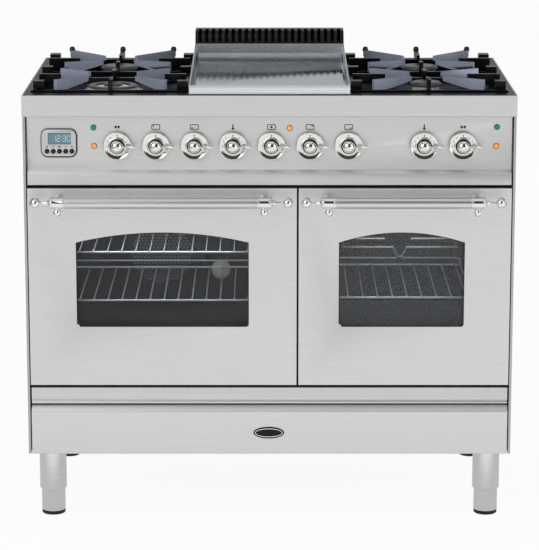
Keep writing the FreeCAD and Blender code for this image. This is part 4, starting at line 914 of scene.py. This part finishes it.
def timerPieces():
    buttons = timer["buttons"]
    x = buttons["first"] + np.arange(5) * buttons["pitch"]
    wells = [ovalLoop(place, buttons["height"], buttons["well"], buttons["well"]) for place in x]
    across, height, width, tall = timer["screen"]
    # the silver face sits 0.4 mm left and 0.6 mm up, so the black case shows wider at the right and
    # bottom as a painted shadow
    around = roundedLoop(timer["across"] - 0.4, timer["height"] + 0.6, *timer["case"])
    loops = [around, roundedLoop(across, height, *timer["opening"], 3)] + wells
    front = panelBack - timer["face"]
    platePiece("timerFace", loops, front - 0.9, 1.4, "cooker", "caseSilver", 0.35)
    glass = roundedLoop(across, height, width, tall, 0.6, 3)
    platePiece("timerScreen", [glass], front - 0.15, 0.5, "cooker", "screenTeal", slot="display")
    digits = []
    for digit, place in zip(timer["shows"], timer["places"]):
        digits += digitLoops(digit, place - 2.2, height - 5.6)
    digits += [ovalLoop(timer["colon"], height + up, 1.5, 1.5, 8) for up in (-2.7, 2.7)]
    platePiece("timerDigits", digits, front - 0.3, 0.25, "cooker", "screenPale")
    # a bell, a clock face of two ovals, two small ovals side by side, a minus and a plus over the
    # five buttons
    level = timer["signs"]
    bell = [(-2, -1.6), (2, -1.6), (1.3, -0.6), (1.1, 1.2), (0, 2.1), (-1.1, 1.2), (-1.3, -0.6)]
    signs = [np.array(bell) + (x[0], level)]
    signs += [ovalLoop(x[1], level, wide, tall) for wide, tall in ((5.4, 3.6), (3.8, 2.2))]
    signs += [ovalLoop(x[2] - 1.6, level, 2.8, 3.2, 12), ovalLoop(x[2] + 1.6, level, 2.8, 3.2, 12)]
    signs.append(roundedLoop(x[3], level, 4, 0.9, 0.2, 2))
    plus = [(0.5, 0.5), (0.5, 2), (-0.5, 2), (-0.5, 0.5), (-2, 0.5), (-2, -0.5)]
    plus += [(-0.5, -0.5), (-0.5, -2), (0.5, -2), (0.5, -0.5), (2, -0.5), (2, 0.5)]
    signs.append(np.array(plus) + (x[4], level))
    platePiece("timerSigns", signs, front - 1.05, 0.3, "cooker", "ink")
    radius = buttons["radius"]
    for index, across in enumerate(x, 1):
        top = domeArc(4.4, 1.5, radius, 0.1, 9)
        dome = np.concatenate([[(-1.9, 0), (-1.9, radius), (4.4, radius)], top])
        grid = facing(dome, 32) + (across, panelFace, buttons["height"])
        node = f"timer_button_{index}"
        makePiece(smoothName(node), [grid], node, "plastic", (node,), crease=50)


timerPieces()

panelMarks = {
    "height": 831,
    "hobs": {-230: (-4.4, 2.1), -152: (-4.4, -2.1), 4: (0, 0), 82: (4.4, 2.1), 160: (4.4, -2.1)},
    "heats": (-74, 313),
    "modes": (-308, 391.5),
    "proud": 0.12,
}


def panelMarkPieces():
    height, loops = panelMarks["height"], []
    for across, (right, up) in panelMarks["hobs"].items():
        for width, tall, bend in ((17.8, 11.2, 2.2), (14.6, 8, 1.2)):
            loops.append(roundedLoop(across, height, width, tall, bend, 4))
        wide, tall = (3.8, 2.8) if right else (5, 5)
        loops.append(ovalLoop(across + right, height + up, wide, tall, 14))
    for across in panelMarks["heats"]:
        stem = [(-1.3, -0.6), (-1.3, 5.5), (1.3, 5.5), (1.3, -0.6)]
        loops += [np.array(stem) + (across, height), ovalLoop(across, height - 3.3, 5.2, 5.2, 14)]
    for across in panelMarks["modes"]:
        loops += [roundedLoop(across + shift, height, 4.8, 5.2, 1, 3) for shift in (-3, 3)]
    proud = panelMarks["proud"]
    platePiece("panelMarks", loops, panelBack - proud, proud + 0.1, "cooker", "ink")


panelMarkPieces()

badge = {"across": -1.5, "height": 192.5, "wide": 63.6, "tall": 24.7, "inset": 3.1, "line": 1.3}


def badgePieces():
    # a bare oval plate on the drawer, domed by 0.7 sqrt(1 - t^2) from its middle out, with a thin
    # bright line let in near its edge
    across, height, inset = badge["across"], badge["height"], badge["inset"]
    outer, *loops = [
        ovalLoop(across, height, badge["wide"] - 2 * d, badge["tall"] - 2 * d, 56)
        for d in (0, inset, inset + badge["line"])
    ]
    platePiece("badgeLine", loops, -1.85, 0.6, "drawer", "chrome", slot="chrome")
    bulge = np.linspace(1, 0, 8)[:, None, None]
    middle = np.array([across, height])
    rings = middle + (outer - middle)[None] * bulge
    proud = 1.0 + 0.7 * np.sqrt(1 - bulge[..., 0] ** 2)
    depth = doorPlane - np.broadcast_to(proud, rings.shape[:2])
    front = np.stack([rings[..., 0], depth, rings[..., 1]], -1)
    back = np.broadcast_to([across, doorPlane + 0.1, height], front[:1].shape)
    foot = front[:1] * (1, 0, 1) + (0, doorPlane + 0.1, 0)
    makePiece("badgePlate", [np.concatenate([back, foot, front])], "drawer", "badgeBlack")


badgePieces()
print("timer, marks and badge made")

# legs

legs = {"across": 455, "depths": (70, 510), "sleeve": 28, "shank": 24.7, "top": 147}


def legPieces():
    sleeves, feet = [], []
    for sign in (-1, 1):
        for depth in legs["depths"]:
            spot = np.array([sign * legs["across"], doorPlane + depth, 0])
            shank, sleeve = legs["shank"], legs["sleeve"]
            pipe = [(8, 0), (8, shank - 0.6, 0.4), (9, shank, 0.6), (53, shank, 0.8)]
            pipe += [(54.2, sleeve - 1.6, 0.8), (57, sleeve, 1.2), (140, sleeve, 1.5)]
            pipe += [(144, sleeve, 1), (legs["top"], sleeve), (legs["top"], 0)]
            sleeves.append(turned(softCorners(pipe), 72) + spot)
            pad = [(0, 0), (0, shank - 2, 0.8), (1.5, shank - 0.3, 0.8)]
            pad += [(8, shank - 0.3, 0.4), (8, 0)]
            feet.append(turned(softCorners(pad), 64) + spot)
    makePiece("legSleeves", sleeves, "cooker", "legSteel", ("leg_sleeves",), "leg_steel", 40)
    makePiece("legFeet", feet, "cooker", "rubber", ("leg_feet",), "seal_rubber", 40)


legPieces()
print("legs made")

# ovens

racks = {
    "wire": 1.35,
    "rail": 2.1,
    "front": 70,
    "back": 406,
    "guard": 15,
    "sides": [
        (-218.7, 212, 559.5, 29.1, 14),
        (-218.7, 212, 457.5, 29.1, 14),
        (270, 152, 463.5, 30.6, 9),
    ],
}


def rackPieces():
    wire, rail = racks["wire"], racks["rail"]
    near, far = doorPlane + racks["front"] + rail, doorPlane + racks["back"] - rail
    grids = []
    for middle, reach, height, pitch, gaps in racks["sides"]:
        left, right = middle - (reach - rail), middle + (reach - rail)
        plan = softCorners([(left, near, 9), (right, near, 9), (right, far, 9), (left, far, 9)])
        plan = np.concatenate([plan, plan[:2]])
        grids.append(tube(np.column_stack([plan, np.full(len(plan), height)]), rail, 10))
        low, high = height + 1, height + racks["guard"]
        guard = softCorners([(left, low), (left, high, 9), (right, high, 9), (right, low)])
        guard = np.insert(guard, 1, far, axis=1)
        grids.append(tube(guard, rail - 0.4, 10))
        for across in middle + (np.arange(gaps + 1) - gaps / 2) * pitch:
            # the wire's end dips over the front rail and is melted to a small ball
            path = [(near - 1.2, 2.4), (near - 0.4, 2.6), (near + 1, 2.7)]
            path += [(near + 3, 2.6), (far - 3, 2.4), (far, 2.2)]
            path = np.array([(across, y, height + z - 0.4) for y, z in path])
            grids.append(tube(path, np.array([2.5, 2.8, 2.3, wire, wire, wire]), 8))
    makePiece("ovenRacks", grids, "cooker", "wireChrome", ("oven_racks",), "rack_wire", 50)


rackPieces()

guard = {"across": -238, "height": 480, "radius": 69, "pitch": 8.1, "depth": 440}


def fanGuardPiece():
    # raised rims of the fan guard's many small holes, on a net of rows set half a pitch apart,
    # kept where they fall inside the guard's circle; each is a ring of six with two steps
    pitch, rings = guard["pitch"], []
    reach = np.arange(-9, 10)
    column, row = np.meshgrid(reach, reach)
    x = (column + (row % 2) / 2) * pitch
    z = row * pitch * 0.866
    spots = np.stack([x, z], -1)[np.hypot(x, z) < guard["radius"] - 3]
    shape = np.array([(0, 1.4), (1.2, 1.6), (1.2, 2.3), (0, 2.6), (0, 1.4)])
    ring = facing(shape, 10)
    ring = ring + (guard["across"], doorPlane + guard["depth"], guard["height"])
    rings = [ring + (right, 0, up) for right, up in spots]
    makePiece("fanGuardRims", rings, "cooker", "rimEnamel", crease=60)


fanGuardPiece()

ovenLights = {
    "domes": {"left": (-108, 0.1), "right": (388, 0.0)},
    "height": 437,
    "depth": 480,
    "radius": 22,
    "panels": [(-218.7, 300, 1.2), (270, 200, 0.7)],
    "lampDepth": 110,
    "lampHeight": 0.645,
    "lampTall": 0.12,
    "tilt": 28,
}


def areaLamp(name, spot, size, power, turn):
    lamp = bpy.data.lights.new(name, "AREA")
    lamp.shape, lamp.energy = "RECTANGLE", power
    lamp.size, lamp.size_y = size
    holder = bpy.data.objects.new(name, lamp)
    holder.location = spot
    holder.rotation_euler = turn
    bpy.context.scene.collection.objects.link(holder)


def ovenLampPieces():
    lensFinish("lampGlow", (196, 195, 190), ovenLights["domes"]["left"][1])
    radius = ovenLights["radius"]
    depth, height = doorPlane + ovenLights["depth"], ovenLights["height"]
    for side, (across, strength) in ovenLights["domes"].items():
        dome = [(0, 0), (0, radius, 0.6), (5, radius, 2), (15, 15, 4), (20, 6, 4), (20, 0)]
        dome = softCorners(dome)
        grid = facing(dome, 40) + (across, depth, height)
        finish = "lampGlow" if strength else "lampGlass"
        makePiece(side + "OvenLamp", [grid], "cooker", finish, ("oven_lamps",), "lamp_glass", 50)
    for index, (across, width, power) in enumerate(ovenLights["panels"]):
        depth = doorPlane + ovenLights["lampDepth"]
        spot = (across / 1000, depth / 1000, ovenLights["lampHeight"])
        turn = (math.radians(ovenLights["tilt"]), 0, 0)
        areaLamp(f"ovenLight{index}", spot, (width / 1000, ovenLights["lampTall"]), power, turn)


ovenLampPieces()
print("ovens fitted")

# studio

studio = {
    "eye": (0.0, -5.471, 1.650),
    "downward": 0.2128,
    "lens": 170.4,
    "ambient": 0.66,
    "lamps": {
        "keyLight": ((-2.4, -3.0, 2.6), (3.8, 3.2), 62.0),
        "fillLight": ((2.8, -2.4, 1.9), (2.6, 3.0), 26.0),
    },
    "aim": (0, 0, 0.5),
    "paper": 0.93,
}


def rayKinds(w):
    # 1 where a surface mirrors the paper, and 1 where it is seen directly or through glass
    light = w.add("LightPath").outputs
    seen = w.sum("MAXIMUM", light["Is Camera Ray"], light["Is Transmission Ray"])
    return light["Is Glossy Ray"], seen


def studioPieces():
    scene = bpy.context.scene
    camera = bpy.data.objects.new("camera", bpy.data.cameras.new("camera"))
    camera.location = studio["eye"]
    camera.rotation_euler = (math.pi / 2 - studio["downward"], 0, 0)
    camera.data.lens = studio["lens"]
    camera.data.sensor_width = 36
    camera.data.clip_end = 100
    scene.collection.objects.link(camera)
    scene.camera = camera
    scene.view_settings.view_transform = "Standard"
    for name, (spot, size, power) in studio["lamps"].items():
        aim = np.array(studio["aim"]) - np.array(spot)
        lean = math.atan2(math.hypot(aim[0], aim[1]), -aim[2])
        areaLamp(name, spot, size, power, (lean, 0, math.atan2(aim[1], aim[0]) - math.pi / 2))

    world = bpy.data.worlds.new("studioWorld")
    world.use_nodes = True
    tree = world.node_tree
    tree.nodes.clear()
    w = Wiring(tree)
    way = w.add("SeparateXYZ", i0=w.add("TexCoord").outputs["Generated"]).outputs
    # what the metal mirrors: pale paper in front, a softer grey overhead, a darker one behind and
    # to the left, and a black flag above the horizon for the chrome's dark edges
    over = w.ramp(way[2], 0.6, 0.9, 1.0, 0.8)
    rear = w.ramp(way[1], 0.3, 0.7, 1.0, 0.5)
    left = w.ramp(way[0], -0.9, -0.45, 0.55, 1.0)
    low, high = w.ramp(way[2], 0.0, 0.06, 0.0, 1.0), w.ramp(way[2], 0.76, 0.84, 1.0, 0.0)
    flag = w.times(w.times(low, high), w.ramp(way[1], -0.1, 0.25, 1.0, 0.0))
    low, far = w.ramp(way[2], 0.46, 0.56, 0.0, 1.0), w.ramp(way[1], 0.1, 0.4, 0.0, 1.0)
    flag = w.sum("MAXIMUM", flag, w.times(low, far))
    band = w.sum("SUBTRACT", 1.0, w.times(flag, 0.94))
    tone = w.times(w.times(over, rear), w.times(left, band))
    mirrored, seen = rayKinds(w)
    soft = w.either(mirrored, studio["ambient"], tone)
    sky = w.add("Background", Strength=w.either(seen, soft, 1.0))
    sky.inputs[0].default_value = (1, 1, 1, 1)
    out = tree.nodes.new("ShaderNodeOutputWorld")
    tree.links.new(sky.outputs[0], out.inputs[0])
    scene.world = world

    floor = bpy.data.meshes.new("floor")
    floor.from_pydata([(-30, -30, 0), (30, -30, 0), (30, 30, 0), (-30, 30, 0)], [], [(0, 1, 2, 3)])
    paper = bpy.data.materials.new("floorPaper")
    paper.use_nodes = True
    w = Wiring(paper.node_tree)
    surface = paper.node_tree.nodes["Principled BSDF"]
    place = w.add("TexCoord").outputs["Object"]
    grain = w.add("TexNoise", i0=place, Scale=180.0, Detail=2.0).outputs[0]
    w.feed(surface.inputs["Roughness"], w.sum("ADD", w.times(grain, 0.1), 0.7))
    surface.inputs["Base Color"].default_value = srgb(244, 244, 244)
    surface.inputs["Specular IOR Level"].default_value = 0.1
    glow = w.add("Emission", Strength=1.0)
    glow.inputs["Color"].default_value = (1, 1, 1, 1)
    # what metal mirrors of the paper grows darker far to the left, behind and close to the cooker
    spot = w.add("SeparateXYZ", i0=place).outputs
    left = w.ramp(spot[0], -3.2, -1.2, 0.35, 1.0)
    rear = w.ramp(spot[1], 0.5, 1.6, 1.0, 0.45)
    close = w.ramp(spot[1], -0.75, -0.35, 1.0, 0.62)
    dimmed = w.times(w.times(left, rear), close)
    mirrored, seen = rayKinds(w)
    w.feed(glow.inputs["Strength"], w.either(mirrored, 1.0, dimmed))
    share = w.times(w.sum("MAXIMUM", seen, mirrored), studio["paper"])
    blend = w.add("MixShader", i0=share)
    paper.node_tree.links.new(surface.outputs[0], blend.inputs[1])
    paper.node_tree.links.new(glow.outputs[0], blend.inputs[2])
    paper.node_tree.links.new(blend.outputs[0], paper.node_tree.nodes["Material Output"].inputs[0])
    floor.materials.append(paper)
    ground = bpy.data.objects.new("floor", floor)
    scene.collection.objects.link(ground)


studioPieces()
print("studio set")
